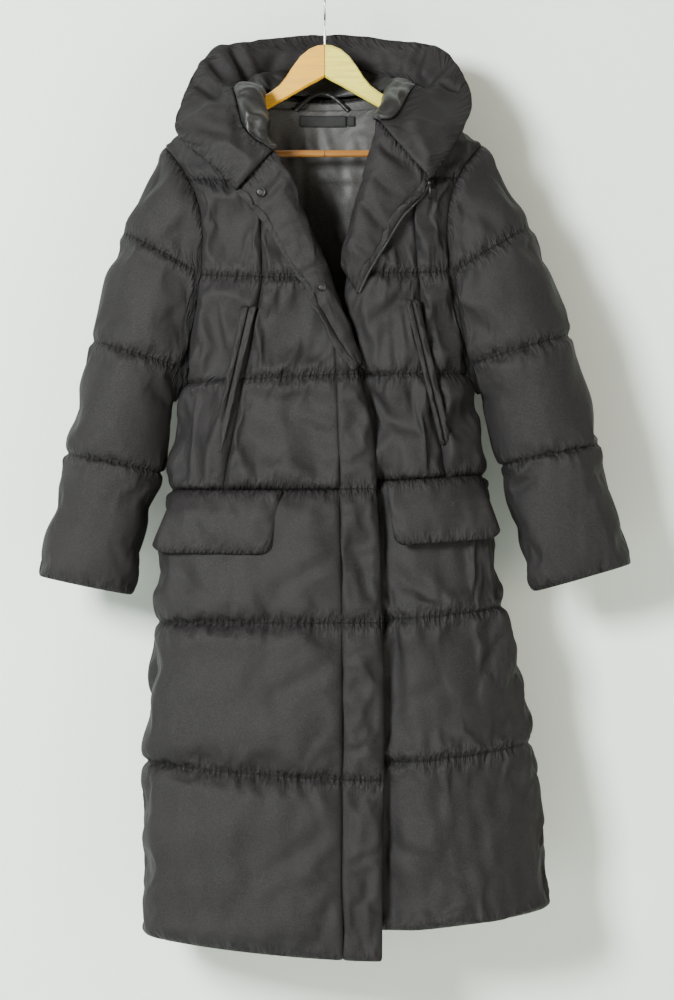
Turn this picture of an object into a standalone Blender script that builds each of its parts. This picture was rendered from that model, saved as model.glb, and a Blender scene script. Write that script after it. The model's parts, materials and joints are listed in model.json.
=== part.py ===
"""Long quilted down coat, hung open at the neck on a wooden hanger.

Tables and lengths are in millimetres and become metres when a mesh is made. The origin is inside the crown of the
hanger's hook, +Z is up and the coat's front faces -Y, so the wearer's right side is at -X. Every piece of cloth is a
wall round a middle surface: thin where it is stitched, thick between the stitching, 0.4 mm short of its neighbours.
"""

import math
from typing import NamedTuple

import bmesh
import bpy
import numpy as np

MM = 0.001
GAP = 0.4  # between the edges of two pieces that are sewn together
STITCHED = 1.7  # half the thickness of a quilted wall at its stitching
ROUNDNESS = 2.3  # exponent of the body's rounded section
SHOULDER_SLOPE = 0.575
NECK_X, NECK_Z = 88.0, -141.0  # where each shoulder seam meets the neck
SHOULDER_ROLL = 110.0  # drop over which the cloth rounds from the shoulder seam to the front
BACK_NECK_DIP = 8.0
YOKE_FOOT = -265.0  # above this height the padding is thin, over the hanger and under the hood
FRONT_EDGE_X = 78.0  # the free edge of the placket
TUCK_DEPTH = 24.0  # how far the left front lies behind the right one where they overlap
TUCK_WIDTH = 46.0
PILLOW_FRACTIONS = (0.0, 0.22, 0.78)
YOKE_FRACTIONS = (0.0, 0.22, 0.45, 0.7)  # above the yoke line, where the cloth rounds over the shoulder
HOOK_WIRE = 3.2
HOOK_RADIUS = 19.0
BAR_RADIUS = 5.0
BAR_Z = -226.0
BAR_HALF = 184.0
ARM_THICKNESS = 13.0
ARM_TIP_X = 207.0


class QuiltLine(NamedTuple):
    """A line of stitching round the body: its ends at the side seams and its heights at the front opening."""

    right_x: float
    left_x: float
    right_z: float
    right_front_z: float
    left_front_z: float
    left_z: float
    depth: float


QUILT_LINES = (
    QuiltLine(-236, 232, -218, -141, -141, -216, 62),  # shoulder seam, whose height follows the slope
    QuiltLine(-235, 231, -266, -274, -270, -262, 63),  # yoke
    QuiltLine(-221, 219, -396, -408, -398, -391, 68),  # chest
    QuiltLine(-188, 193, -549, -537, -537, -536, 71),  # underarm
    QuiltLine(-210, 217, -698, -696, -684, -678, 74),  # waist
    QuiltLine(-227, 243, -881, -880, -876, -860, 80),  # hip
    QuiltLine(-243, 281, -1075, -1096, -1072, -1050, 86),  # knee
    QuiltLine(-248, 306, -1317, -1344, -1304, -1280, 92),  # hem
)
YOKE, CHEST, UNDERARM, WAIST, HEM = 1, 2, 3, 4, 7


class EdgePoint(NamedTuple):
    """One point of an edge that runs down the body: its height, and how far across it is."""

    z: float
    x: float


ARMHOLE_RIGHT = (
    EdgePoint(-218, -222), EdgePoint(-249, -198), EdgePoint(-281, -181), EdgePoint(-309, -172),
    EdgePoint(-342, -168), EdgePoint(-388, -170), EdgePoint(-441, -177), EdgePoint(-489, -187),
    EdgePoint(-549, -188),
)
ARMHOLE_LEFT = (
    EdgePoint(-216, 218), EdgePoint(-246, 194), EdgePoint(-278, 178), EdgePoint(-309, 171),
    EdgePoint(-342, 169), EdgePoint(-388, 170), EdgePoint(-441, 178), EdgePoint(-489, 188),
    EdgePoint(-536, 193),
)
PRINCESS_RIGHT = (EdgePoint(-160, -122), EdgePoint(-320, -88), EdgePoint(-409, -86), EdgePoint(-445, -92),
                  EdgePoint(-684, -138), EdgePoint(-700, -141))
PRINCESS_LEFT = (EdgePoint(-160, 130), EdgePoint(-320, 124), EdgePoint(-389, 128), EdgePoint(-431, 132),
                 EdgePoint(-678, 166), EdgePoint(-700, 169))
OPENING_RIGHT = (EdgePoint(-141, -88), EdgePoint(-223, -78), EdgePoint(-276, -47), EdgePoint(-351, -18.5),
                 EdgePoint(-425, 10), EdgePoint(-470, 15), EdgePoint(-540, 17), EdgePoint(-630, 20),
                 EdgePoint(-876, 25), EdgePoint(-1345, 26))
OPENING_LEFT = (EdgePoint(-141, 88), EdgePoint(-214, 71.6), EdgePoint(-283, 54.6), EdgePoint(-361, 34.2),
                EdgePoint(-437, 28), EdgePoint(-537, 28), EdgePoint(-1305, 30))
PLACKET_FREE_EDGE = (EdgePoint(-330, 0), EdgePoint(-425, 14), EdgePoint(-478, 25), EdgePoint(-545, 48),
                     EdgePoint(-600, 64), EdgePoint(-644, 68), EdgePoint(-752, 74), EdgePoint(-985, 81),
                     EdgePoint(-1345, 77))


class LapelRow(NamedTuple):
    """A line across a turned-out front: where it rolls over, and where its outer edge lies."""

    roll_x: float
    roll_z: float
    outer_x: float
    outer_z: float


LAPEL_RIGHT = (
    LapelRow(-72, -234, -121, -288), LapelRow(-57, -254, -103, -308), LapelRow(-44, -278, -83, -332),
    LapelRow(-31, -315, -59, -370), LapelRow(-16, -352, -38, -404), LapelRow(-2, -386, -25, -421),
    LapelRow(13, -426, -14, -448), LapelRow(33, -478, 14, -499), LapelRow(48, -522, 36, -530),
)
LAPEL_LEFT = (
    LapelRow(74, -191, 145, -270), LapelRow(68, -222, 133, -290), LapelRow(61, -254, 119, -305),
    LapelRow(53, -286, 104, -322), LapelRow(42, -324, 82, -358), LapelRow(32, -363, 60, -394),
    LapelRow(28, -392, 46, -424),
)


class HoodStation(NamedTuple):
    """One place round the hood's opening: the neck seam, the lining's upper seam and the hood's outer edge."""

    neck_x: float
    neck_z: float
    forward: float
    seam_x: float
    seam_y: float
    seam_z: float
    edge_x: float
    edge_y: float
    edge_z: float
    fullness: float


HOOD = (
    HoodStation(-79, -226, 1, -72, -84, -229, -122, -84, -284, 0.0),
    HoodStation(-82, -204, 1, -97, -80, -213, -156, -74, -248, 0.0),
    HoodStation(-85, -180, 1, -113, -66, -198, -187, -60, -222, 0.05),
    HoodStation(-87, -158, 0.8, -123, -46, -174, -205, -40, -194, 0.12),
    HoodStation(-88, -143, 0.3, -127, -20, -151, -197, -12, -153, 0.3),
    HoodStation(-78, -145, 0, -119, 14, -129, -178, 14, -108, 0.55),
    HoodStation(-55, -147, 0, -95, 47, -113, -155, 34, -76, 0.8),
    HoodStation(-28, -149, 0, -47, 74, -107, -106, 48, -64, 0.95),
    HoodStation(0, -149, 0, 0, 82, -107, 0, 54, -54, 1.0),
    HoodStation(28, -149, 0, 50, 74, -109, 106, 48, -64, 0.95),
    HoodStation(55, -147, 0, 99, 44, -119, 162, 33, -77, 0.8),
    HoodStation(78, -145, 0, 140, 8, -141, 192, 10, -117, 0.55),
    HoodStation(88, -143, 0.3, 123, -24, -167, 202, -16, -160, 0.3),
    HoodStation(85, -158, 0.8, 98, -54, -193, 184, -62, -208, 0.1),
    HoodStation(78, -190, 1, 75, -72, -189, 145, -84, -268, 0.0),
)


class SleeveRing(NamedTuple):
    """One ring of a sleeve: its outer and inner points seen from the front, and half its depth."""

    outer_x: float
    outer_z: float
    inner_x: float
    inner_z: float
    half_depth: float


class StitchLine(NamedTuple):
    """A straight line of stitching across a sleeve, seen from the front."""

    outer_x: float
    outer_z: float
    inner_x: float
    inner_z: float


SLEEVE_RIGHT = (SleeveRing(-320, -492, -220, -578, 53), SleeveRing(-355, -647, -235, -671, 46),
                SleeveRing(-396, -817, -274, -842, 30))
SLEEVE_LEFT = (SleeveRing(336, -482, 227, -568, 53), SleeveRing(378, -634, 253, -660, 46),
               SleeveRing(425, -800, 296, -837, 30))
STITCHES_RIGHT = (StitchLine(-279, -339, -181, -393), StitchLine(-320, -491, -204, -525),
                  StitchLine(-355, -647, -235, -671))
STITCHES_LEFT = (StitchLine(283, -332, 188, -388), StitchLine(336, -482, 210, -519),
                 StitchLine(378, -634, 253, -660))
SLEEVE_CAP_BULGE = 25.0
UNDERARM_GAP = 4.2  # how far the sleeve's wall starts outside the side panels, where it folds back under the arm
SLEEVE_SIDES = 20  # two for each row of the body beside the armhole


class Finish(NamedTuple):
    """Colour, roughness and metallic value of a material."""

    name: str
    colour: tuple
    roughness: float
    metallic: float


SHELL = Finish("shell_cloth", (0.030, 0.030, 0.033), 0.75, 0.0)
LINING = Finish("lining_cloth", (0.035, 0.035, 0.036), 0.42, 0.0)
TAPE = Finish("black_tape", (0.012, 0.012, 0.013), 0.6, 0.0)
WOOD = Finish("pale_wood", (0.70, 0.48, 0.24), 0.45, 0.0)
STEEL = Finish("steel", (0.60, 0.60, 0.60), 0.3, 1.0)
SNAP_METAL = Finish("snap_metal", (0.20, 0.20, 0.21), 0.4, 1.0)


def mix(first, second, share):
    """The value this share of the way from the first to the second."""
    return first + (second - first) * share


def smooth(share):
    """An S curve from 0 to 1."""
    share = min(max(share, 0.0), 1.0)
    return share * share * (3 - 2 * share)


def across(edge, z):
    """How far across an edge of the body is at this height."""
    heights = [-point.z for point in edge]
    return float(np.interp(-z, heights, [point.x for point in edge]))


def shoulder_height(x):
    """Height of the shoulder seam's line at this distance across."""
    return NECK_Z - SHOULDER_SLOPE * (abs(x) - NECK_X)


def line_height(line, face, x):
    """Height of a quilt line on one face of the body: "back", "right" or "left"."""
    if face == "back":
        return mix(line.right_z, line.left_z, (x - line.right_x) / (line.left_x - line.right_x))
    if face == "right":
        share, side, front = (x - line.right_x) / (FRONT_EDGE_X - line.right_x), line.right_z, line.right_front_z
    else:
        share, side, front = (line.left_x - x) / (line.left_x - FRONT_EDGE_X), line.left_z, line.left_front_z
    return mix(side, front, 1 - (1 - min(max(share, 0.0), 1.0)) ** 1.5)


def section_at(v):
    """Right and left ends and half depth of the body's section at a row, counted in quilt lines."""
    step = min(max(int(v), 0), HEM - 1)
    upper, lower, share = QUILT_LINES[step], QUILT_LINES[step + 1], v - step
    return (mix(upper.right_x, lower.right_x, share), mix(upper.left_x, lower.left_x, share),
            mix(upper.depth, lower.depth, share))


def row_height(face, x, v):
    """Height of a row of the body at this distance across."""
    step = min(max(int(v), 0), HEM - 1)
    below = line_height(QUILT_LINES[step + 1], face, x)
    if step == 0:
        above = shoulder_height(x)
        if face == "back" and abs(x) < NECK_X:
            above = NECK_Z - BACK_NECK_DIP * (1 - (x / NECK_X) ** 2)
        return mix(above, below, v * v)
    return mix(line_height(QUILT_LINES[step], face, x), below, v - step)


def swell(x, z, right, left, depth):
    """How far the body's middle surface stands from the plane of the hanger."""
    centre, half = (right + left) / 2, (left - right) / 2
    share = min(abs(x - centre) / half, 1.0)
    drop = min(max(shoulder_height(x) - z, 0.0) / SHOULDER_ROLL, 1.0)
    return depth * (1 - share**ROUNDNESS) ** (1 / ROUNDNESS) * math.sqrt(1 - (1 - drop) ** 2)


def tuck(x, z):
    """How far the left front lies back behind the right front here."""
    beyond = across(PLACKET_FREE_EDGE, z) + 8 + TUCK_WIDTH - x
    return TUCK_DEPTH * smooth(beyond / TUCK_WIDTH) * smooth((-z - 330) / 90)


def angle_at(x, v):
    """Angle round the body's section of a point this far across."""
    right, left, _ = section_at(v)
    centre, half = (right + left) / 2, (left - right) / 2
    share = min(abs(x - centre) / half, 1.0) ** (ROUNDNESS / 2)
    return math.copysign(math.asin(share), x - centre)


def torso(face, angle, v):
    """A point of the body's middle surface, from its angle round the section and its row."""
    right, left, depth = section_at(v)
    centre, half = (right + left) / 2, (left - right) / 2
    sine = math.sin(angle)
    x = centre + half * math.copysign(abs(sine) ** (2 / ROUNDNESS), sine)
    z = row_height(face, x, v)
    y = -swell(x, z, right, left, depth)
    if v < 0 or abs(angle) > math.pi / 2:
        y = -y
    if face == "left":
        y += tuck(x, z)
    return np.array((x, -y if face == "back" else y, z))


def torso_normal(face, angle, v):
    """The outward direction of the body's surface, the same for every piece that shares the place."""
    around = torso(face, angle + 0.02, v) - torso(face, angle - 0.02, v)
    down = torso(face, angle, v + 0.02) - torso(face, angle, v - 0.02)
    normal = np.cross(around, down) if face == "back" else np.cross(down, around)
    return normal / np.linalg.norm(normal)


def edge_angle(face, edge, v):
    """Angle at which a row of the body meets an edge that runs down it."""
    x = edge[0].x
    for _ in range(12):
        x = mix(x, across(edge, row_height(face, x, v)), 0.7)
    return angle_at(x, v)


def side_angle(face, side, v):
    """Angle of the armhole or, below it, of the side seam, at a row of the body."""
    if v >= UNDERARM:
        return side * math.pi / 2
    return edge_angle(face, ARMHOLE_LEFT if side > 0 else ARMHOLE_RIGHT, v)


def rows_between(first, last):
    """Rows of the body from one quilt line to another, closer together beside each line."""
    rows = [line + share for line in range(first, last) for share in (PILLOW_FRACTIONS if line else YOKE_FRACTIONS)]
    return [*rows, float(last)]


def inset(points, rows=True, columns=True):
    """Draws the edges of a patch in, so that it stops short of its neighbours."""
    drawn = points.copy()
    for axis, wanted in ((0, rows), (1, columns)):
        if not wanted:
            continue
        grid, source = np.moveaxis(drawn, axis, 0), np.moveaxis(points, axis, 0)
        for edge, inner in ((0, 1), (-1, -2)):
            step = source[inner] - source[edge]
            grid[edge] += step / np.linalg.norm(step, axis=1, keepdims=True) * GAP / 2
    return drawn


def shorten(points, row, inner, amount):
    """Draws one end row of a patch towards the row inside it."""
    step = points[inner] - points[row]
    points[row] += step / np.linalg.norm(step, axis=1, keepdims=True) * amount


def lengths_along(points, axis):
    """Distance of each point from the first one, along the rows or the columns."""
    steps = np.linalg.norm(np.diff(points, axis=axis), axis=2)
    start = np.zeros_like(np.take(steps, [0], axis=axis))
    return np.concatenate([start, np.cumsum(steps, axis=axis)], axis=axis)


def pillow(distance, reach):
    """How full the padding is at this distance from the stitching: 0 at it, 1 beyond the reach."""
    share = np.clip(distance / reach, 0.0, 1.0)
    return np.sqrt(1 - (1 - share) ** 2)


def fullness(points, stitched_rows, reach, sides=True):
    """The padding's share at each point of a patch, from the nearest stitched row and, with sides, edge."""
    down = lengths_along(points, 0)
    share = np.ones(points.shape[:2])
    for row in stitched_rows:
        share = np.minimum(share, pillow(np.abs(down - down[row]), reach))
    if sides:
        over = lengths_along(points, 1)
        share *= pillow(np.minimum(over, over[:, -1:] - over), reach * 0.55)
    return share


def grid_normals(points, closed=False):
    """Directions out of a patch, to the side from which its columns run left to right as its rows run down."""
    if closed:
        wide = np.concatenate([points[:, -1:], points, points[:, :1]], axis=1)
        over = wide[:, 2:] - wide[:, :-2]
    else:
        over = np.gradient(points, axis=1)
    normals = np.cross(np.gradient(points, axis=0), over)
    return normals / np.linalg.norm(normals, axis=2, keepdims=True)


def material(finish):
    """The material of this finish, made once."""
    made = bpy.data.materials.get(finish.name)
    if made is None:
        made = bpy.data.materials.new(finish.name)
        made.use_nodes = True
        surface = made.node_tree.nodes["Principled BSDF"]
        surface.inputs["Base Color"].default_value = (*finish.colour, 1.0)
        surface.inputs["Roughness"].default_value = finish.roughness
        surface.inputs["Metallic"].default_value = finish.metallic
        made.diffuse_color = (*finish.colour, 1.0)
    return made


def add_object(name, bm, finish):
    """Puts a finished mesh into the scene, with its faces pointing out."""
    bmesh.ops.recalc_face_normals(bm, faces=bm.faces[:])
    mesh = bpy.data.meshes.new(name)
    bm.to_mesh(mesh)
    bm.free()
    mesh.shade_smooth()
    mesh.set_sharp_from_angle(angle=math.radians(50))
    mesh.materials.append(material(finish))
    obj = bpy.data.objects.new(name, mesh)
    bpy.context.scene.collection.objects.link(obj)
    return obj


def wall(name, outer, inner, finish, closed=False):
    """A wall of cloth between two matching grids of points: a patch, or a tube where its columns close."""
    rows, columns = outer.shape[:2]
    if closed:
        outer, inner = (np.concatenate([grid, grid[:, :1]], axis=1) for grid in (outer, inner))
    spans = outer.shape[1] - 1
    bm = bmesh.new()
    bmesh.ops.create_grid(bm, x_segments=spans, y_segments=rows - 1, size=1.0)
    place = bm.verts.layers.int.new("place")
    for vertex in bm.verts:
        column = round((vertex.co.x + 1) / 2 * spans)
        row = round((vertex.co.y + 1) / 2 * (rows - 1))
        vertex[place] = row * (spans + 1) + column
        vertex.co = outer[row, column] * MM
    if closed:
        bmesh.ops.remove_doubles(bm, verts=bm.verts[:], dist=0.01 * MM)
    made = bmesh.ops.extrude_face_region(bm, geom=bm.faces[:])
    for vertex in made["geom"]:
        if isinstance(vertex, bmesh.types.BMVert):
            row, column = divmod(vertex[place], spans + 1)
            vertex.co = inner[row, column % columns if closed else column] * MM
    return add_object(name, bm, finish)


def padded_wall(name, middle, normals, share, padding, finish, closed=False):
    """A wall whose padding (outward, inward) fills it between its stitching."""
    outward, inward = padding
    outer = middle + normals * (STITCHED + outward * share)[..., None]
    inner = middle - normals * (STITCHED + inward * share)[..., None]
    return wall(name, outer, inner, finish, closed)


def body_patch(face, first, last, start, end, columns):
    """Middle points and outward directions of one panel, between two edges given as angles for each row."""
    rows = rows_between(first, last)
    points = np.empty((len(rows), columns, 3))
    normals = np.empty_like(points)
    for i, v in enumerate(rows):
        for j, angle in enumerate(np.linspace(start(v), end(v), columns)):
            points[i, j] = torso(face, angle, v)
            normals[i, j] = torso_normal(face, angle, v)
    return inset(points), normals


def body_panel(name, face, lines, start, end, columns, outward):
    """One quilted panel of the coat's body."""
    first, last = lines
    points, normals = body_patch(face, first, last, start, end, columns)
    points[..., 1] += GAP / 2 if face == "back" else -GAP / 2
    stitched = [i for i, v in enumerate(rows_between(first, last)) if v == int(v)]
    share = fullness(points, stitched, 52.0)
    high = np.array([row > YOKE_FOOT for row in points[..., 2]])
    padding = (np.where(high, 5.5, outward), np.where(high, 2.0, 6.0))
    padded_wall(name, points, normals, share, padding, SHELL)


def add_body():
    """The back and the six panels of the fronts."""
    body_panel("back", "back", (0, HEM), lambda v: side_angle("back", -1, v), lambda v: side_angle("back", 1, v),
               15, 9.0)
    right_edges = (lambda v: side_angle("right", -1, v), lambda v: edge_angle("right", PRINCESS_RIGHT, v),
                   lambda v: edge_angle("right", OPENING_RIGHT, v))
    left_edges = (lambda v: side_angle("left", 1, v), lambda v: edge_angle("left", PRINCESS_LEFT, v),
                  lambda v: edge_angle("left", OPENING_LEFT, v))
    for face, (side, princess, opening) in (("right", right_edges), ("left", left_edges)):
        for piece, lines, outer_edge, inner_edge, columns in (
            ("side", (0, WAIST), side, princess, 5),
            ("centre", (0, WAIST), princess, opening, 6),
            ("skirt", (WAIST, HEM), side, opening, 9),
        ):
            edges = (outer_edge, inner_edge) if face == "right" else (inner_edge, outer_edge)
            body_panel(f"front_{piece}_{face}", face, lines, *edges, columns, 9.0)


def armhole(side):
    """Points and outward directions round an armhole: down its front from the shoulder, up its back."""
    face = "left" if side > 0 else "right"
    loops = []
    for part in (face, "back"):
        places = [(side_angle(part, side, v), v) for v in rows_between(0, UNDERARM)]
        loops.append([np.array([found(part, angle, v) for angle, v in places]) for found in (torso, torso_normal)])
    front, back = loops
    return [np.concatenate([front[i], back[i][-2:0:-1]]) for i in (0, 1)]


def sleeve_ring(ring, side):
    """Points round one ring of a sleeve, starting at its outer point and coming down its front."""
    outer, inner = np.array((ring.outer_x, 0, ring.outer_z)), np.array((ring.inner_x, 0, ring.inner_z))
    middle, arm = (outer + inner) / 2, (outer - inner) / 2
    turns = np.arange(SLEEVE_SIDES) / SLEEVE_SIDES * 2 * math.pi
    return np.array([middle + arm * math.cos(turn) - np.array((0, ring.half_depth, 0)) * math.sin(turn)
                     for turn in turns])


def stitch_distance(points, stitch):
    """How far points lie from a sleeve's line of stitching, seen from the front."""
    start = np.array((stitch.outer_x, stitch.outer_z))
    along = np.array((stitch.inner_x, stitch.inner_z)) - start
    offset = points[..., [0, 2]] - start
    return (along[0] * offset[..., 1] - along[1] * offset[..., 0]) / np.linalg.norm(along)


def add_sleeve(name, side, rings, stitches):
    """One sleeve, lofted from its armhole through its rings to an open cuff."""
    loop, loop_normals = armhole(side)
    turns = np.arange(SLEEVE_SIDES) / SLEEVE_SIDES * 2 * math.pi
    first, forearm, cuff = (sleeve_ring(ring, side) for ring in rings)
    outward = np.array((side * 0.94, 0, 0.34)) * SLEEVE_CAP_BULGE
    control = (loop + first) / 2 + outward * (np.cos(turns / 2) ** 2)[:, None]
    rows = [(1 - t) ** 2 * loop + 2 * t * (1 - t) * control + t * t * first for t in (0, 0.15, 0.34, 0.54, 0.8)]
    rows += [mix(first, forearm, t) for t in (0, 0.2, 0.75)]
    rows += [mix(forearm, cuff, t) for t in (0, 0.2, 0.8, 1)]
    points = np.array(rows)
    normals = grid_normals(points, closed=True) * -side
    folded = np.clip(1 - np.sum(normals[0] * loop_normals, axis=1, keepdims=True), 0.0, 2.0)
    away = np.cross(np.roll(loop, -1, axis=0) - np.roll(loop, 1, axis=0), loop_normals) * -side
    away /= np.linalg.norm(away, axis=1, keepdims=True)
    points[0] += (away * 0.5 + loop_normals * 0.5) * UNDERARM_GAP * folded
    points[1] += loop_normals * UNDERARM_GAP * 0.5 * folded
    same_way = np.clip(1 - folded * 1.5, 0.0, 1.0)
    normals[0] = mix(normals[0], loop_normals, same_way)
    normals[1] = normals[1] + loop_normals * same_way
    normals[:2] /= np.linalg.norm(normals[:2], axis=2, keepdims=True)
    share = np.ones(points.shape[:2])
    for stitch in stitches:
        share = np.minimum(share, pillow(np.abs(stitch_distance(points, stitch)), 50.0))
    down = lengths_along(points, 0)
    share = np.minimum(share, pillow(np.minimum(down, down[-1:] - down), 45.0))
    points = inset(points, columns=False)
    shorten(points, 0, 1, 0.5)
    padded_wall(name, points, normals, share, (8.0, 5.0), SHELL, closed=True)


def refined(values, steps):
    """A smooth curve through the rows of values, with this many steps from each to the next."""
    ends = np.concatenate([2 * values[:1] - values[1:2], values, 2 * values[-1:] - values[-2:-1]])
    curve = []
    for i in range(1, len(ends) - 2):
        before, here, there, after = ends[i - 1:i + 3]
        for t in np.arange(steps) / steps:
            curve.append(0.5 * (2 * here + (there - before) * t + (2 * before - 5 * here + 4 * there - after) * t**2
                                + (3 * here - before - 3 * there + after) * t**3))
    return np.array([*curve, values[-1]])


def neck_point(station):
    """A point of the neck seam, on the body's middle surface."""
    right, left, depth = section_at(0.5)
    y = swell(station.neck_x, station.neck_z, right, left, depth) * (-1 if station.forward > 0.5 else 1)
    return np.array((station.neck_x, y, station.neck_z))


def clear_of_body(point, clearance, forward):
    """Moves a point of the hood off the shoulders, up near their ridge and away from the hanger below it."""
    right, left, depth = section_at(0.5)
    moved = np.array(point, dtype=float)
    side = -1.0 if forward > 0.2 else 1.0
    for _ in range(80):
        x, y, z = moved
        if y * side >= swell(x, z - clearance, right, left, depth) + clearance or z > shoulder_height(x) + clearance:
            break
        steep = min(max(shoulder_height(x) - z, 0.0) / 60, 1.0)
        moved += (0, side * max(steep, 0.4), 1 - steep)
    return moved


def hood_rails():
    """Lines that run round the hood, from inside its neck seam over its edge to outside its neck seam."""
    stations = []
    for station in HOOD:
        neck, full, forward = neck_point(station), station.fullness, station.forward
        seam = np.array((station.seam_x, station.seam_y, station.seam_z))
        edge = np.array((station.edge_x, station.edge_y, station.edge_z))
        inward = (seam - edge) / np.linalg.norm(seam - edge)
        to_middle = -math.copysign(1.0, station.neck_x) if station.neck_x else 0.0
        hole = np.array((-neck[0], -neck[1], 0)) / max(np.linalg.norm(neck[:2]), 1)
        inside = neck + forward * np.array((4.5 * to_middle, -5, 5)) + (1 - forward) * (hole * 3.5 + (0, 0, 8))
        away = hole * (-2 - 8 * (1 - full)) + (0, 0, 6)
        outside = neck + forward * np.array((-4 * to_middle, -12.5, 5)) + (1 - forward) * away
        lining = mix(inside, seam, 0.5) + (7 * forward * to_middle, 14 * full - 4 * forward, 14 * (1 - forward))
        front = edge + inward * 9 + (0, -5, 0)
        back = edge + inward * 9 + (0, 9 - 3 * full, 0)
        band = mix(seam, front, 0.5) + (0, -3, 0)
        top = mix(edge, outside, 0.3) + np.array((0, 10 + 50 * full, 3 + 12 * full))
        low = mix(edge, outside, 0.6) + np.array((0, 9 + 78 * full, 3 - 52 * full))
        under = mix(edge, outside, 0.85) + np.array((0, 6 + 62 * full, 2 - 96 * full))
        lip = mix(under, outside, 0.6)
        rails = [(inside, 0), (lining, 18), (seam, 24), (band, 26), (front, 26), (edge, 22), (back, 17), (top, 15),
                 (low, 13), (under, 11.5), (lip, 10.5), (outside, 0)]
        stations.append([clear_of_body(point, clearance, forward) if clearance else point
                         for point, clearance in rails])
    return refined(np.array(stations), 2).transpose(1, 0, 2)


class HoodPiece(NamedTuple):
    """A band of the hood between two of its lines, and how full its padding is on each line."""

    name: str
    first: int
    last: int
    fill: tuple
    finish: Finish


HOOD_PIECES = (
    HoodPiece("hood_lining", 0, 2, (0.0, 0.0, 0.0), LINING),
    HoodPiece("hood_facing", 2, 5, (0.0, 1.0, 0.6, 0.0), SHELL),
    HoodPiece("hood_shell", 5, 11, (0.0, 0.4, 1.0, 0.6, 0.1, 0.0, 0.0), SHELL),
)


def add_hood():
    """The hood's lining, the facing round its opening and its outer shell, cut from one rolled surface."""
    rails = hood_rails()
    normals = -grid_normals(rails)
    for piece in HOOD_PIECES:
        points = inset(rails[piece.first:piece.last + 1])
        shorten(points, 0, 1, 1.2)
        shorten(points, -1, -2, 2.5 if piece.name == "hood_lining" else 0.5)
        share = np.repeat(np.array(piece.fill)[:, None], points.shape[1], axis=1)
        share[:, [0, -1]] = 0
        padded_wall(piece.name, points, normals[piece.first:piece.last + 1], share, (6.0, 0.5), piece.finish)


def lapel_surface(rows, sections, face):
    """Middle points across a turned-out front: (distance from its roll, height off the body) for each column."""
    right, left, depth = section_at(1.5)
    points = []
    for row in refined(np.array(rows, dtype=float), 2):
        roll, outer = np.array((row[0], row[1])), np.array((row[2], row[3]))
        width = np.linalg.norm(outer - roll)
        along = (outer - roll) / width
        line = []
        for distance, share, height in sections:
            x, z = roll + along * (distance + share * width)
            y = -swell(x, z, right, left, depth) - height
            line.append((x, y + (tuck(x, z) if face == "left" else 0.0), z))
        points.append(line)
    return np.array(points)


LAPEL_SECTIONS = ((-1.0, 0.0, 0.0), (-3.0, 0.0, 7.0), (-1.0, 0.02, 14.0), (3.0, 0.1, 19.0), (2.0, 0.35, 21.0),
                  (0.0, 0.7, 20.0), (-4.0, 1.0, 18.5))


def add_lapels():
    """The inner sides of the two fronts, turned out from the neck to the overlap."""
    for name, face, rows, side in (("facing_right", "right", LAPEL_RIGHT, 1), ("facing_left", "left", LAPEL_LEFT, -1)):
        points = inset(lapel_surface(rows, LAPEL_SECTIONS, face), columns=False)
        normals = grid_normals(points) * -side
        share = fullness(points, (0, len(points) - 1), 22.0)
        padded_wall(name, points, normals, share, (2.5, 0.3), SHELL)


def add_placket():
    """The strip down the right front's free edge, which covers the left front."""
    rows = [*rows_between(CHEST, UNDERARM)[1:-1], *rows_between(UNDERARM, HEM)]
    points, normals = np.empty((len(rows), 5, 3)), np.empty((len(rows), 5, 3))
    for i, v in enumerate(rows):
        start = edge_angle("right", OPENING_RIGHT, v)
        end = edge_angle("right", PLACKET_FREE_EDGE, v)
        for j, angle in enumerate(np.linspace(start, end, 5)):
            points[i, j] = torso("right", angle, v)
            normals[i, j] = torso_normal("right", angle, v)
    points[0] = mix(points[0], points[1], 0.5)
    points = inset(points)
    points[..., 1] -= GAP / 2
    share = fullness(points, (0, len(rows) - 1), 12.0)
    padded_wall("placket", points, normals, share, (4.0, 1.5), SHELL)


def on_body(face, x, z, lift):
    """A point lifted off the body's middle surface, for what is sewn on it."""
    v = next(line for line in range(HEM) if line_height(QUILT_LINES[line + 1], face, x) < z or line == HEM - 1)
    right, left, depth = section_at(v + 0.5)
    y = -swell(x, z, right, left, depth) - lift
    return np.array((x, y + (tuck(x, z) if face == "left" else 0.0), z))


class Welt(NamedTuple):
    """A narrow strip beside a slanted pocket: the middle of its top and foot, and its widths."""

    name: str
    face: str
    top_x: float
    top_z: float
    foot_x: float
    foot_z: float
    top_width: float
    foot_width: float


WELT_LIFT = 12.0
WELTS = (
    Welt("welt_outer_right", "right", -109, -444, -154, -648, 10, 7.5),
    Welt("welt_inner_right", "right", -98.4, -444, -145.7, -648, 10, 7.5),
    Welt("welt_inner_left", "left", 113.9, -434, 161.9, -635, 8, 7.0),
    Welt("welt_outer_left", "left", 124, -434, 170.5, -635, 11, 9.0),
)


def add_welts():
    """The double welts of the two slanted pockets."""
    for welt in WELTS:
        points = np.empty((9, 3, 3))
        for i, share in enumerate(np.linspace(0, 1, 9)):
            width = mix(welt.top_width, welt.foot_width, share)
            for j, offset in enumerate((-0.5, 0.0, 0.5)):
                x = mix(welt.top_x, welt.foot_x, share) + offset * width
                points[i, j] = on_body(welt.face, x, mix(welt.top_z, welt.foot_z, share), WELT_LIFT)
        normals = grid_normals(points)
        padded_wall(welt.name, points, normals, fullness(points, (0, 8), 5.0), (1.2, 0.3), SHELL)


class Flap(NamedTuple):
    """A pocket flap: which side it is on, and the ends of its top and bottom edges."""

    name: str
    side: int
    top_outer: EdgePoint
    top_inner: EdgePoint
    foot_outer: EdgePoint
    foot_inner: EdgePoint


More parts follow.
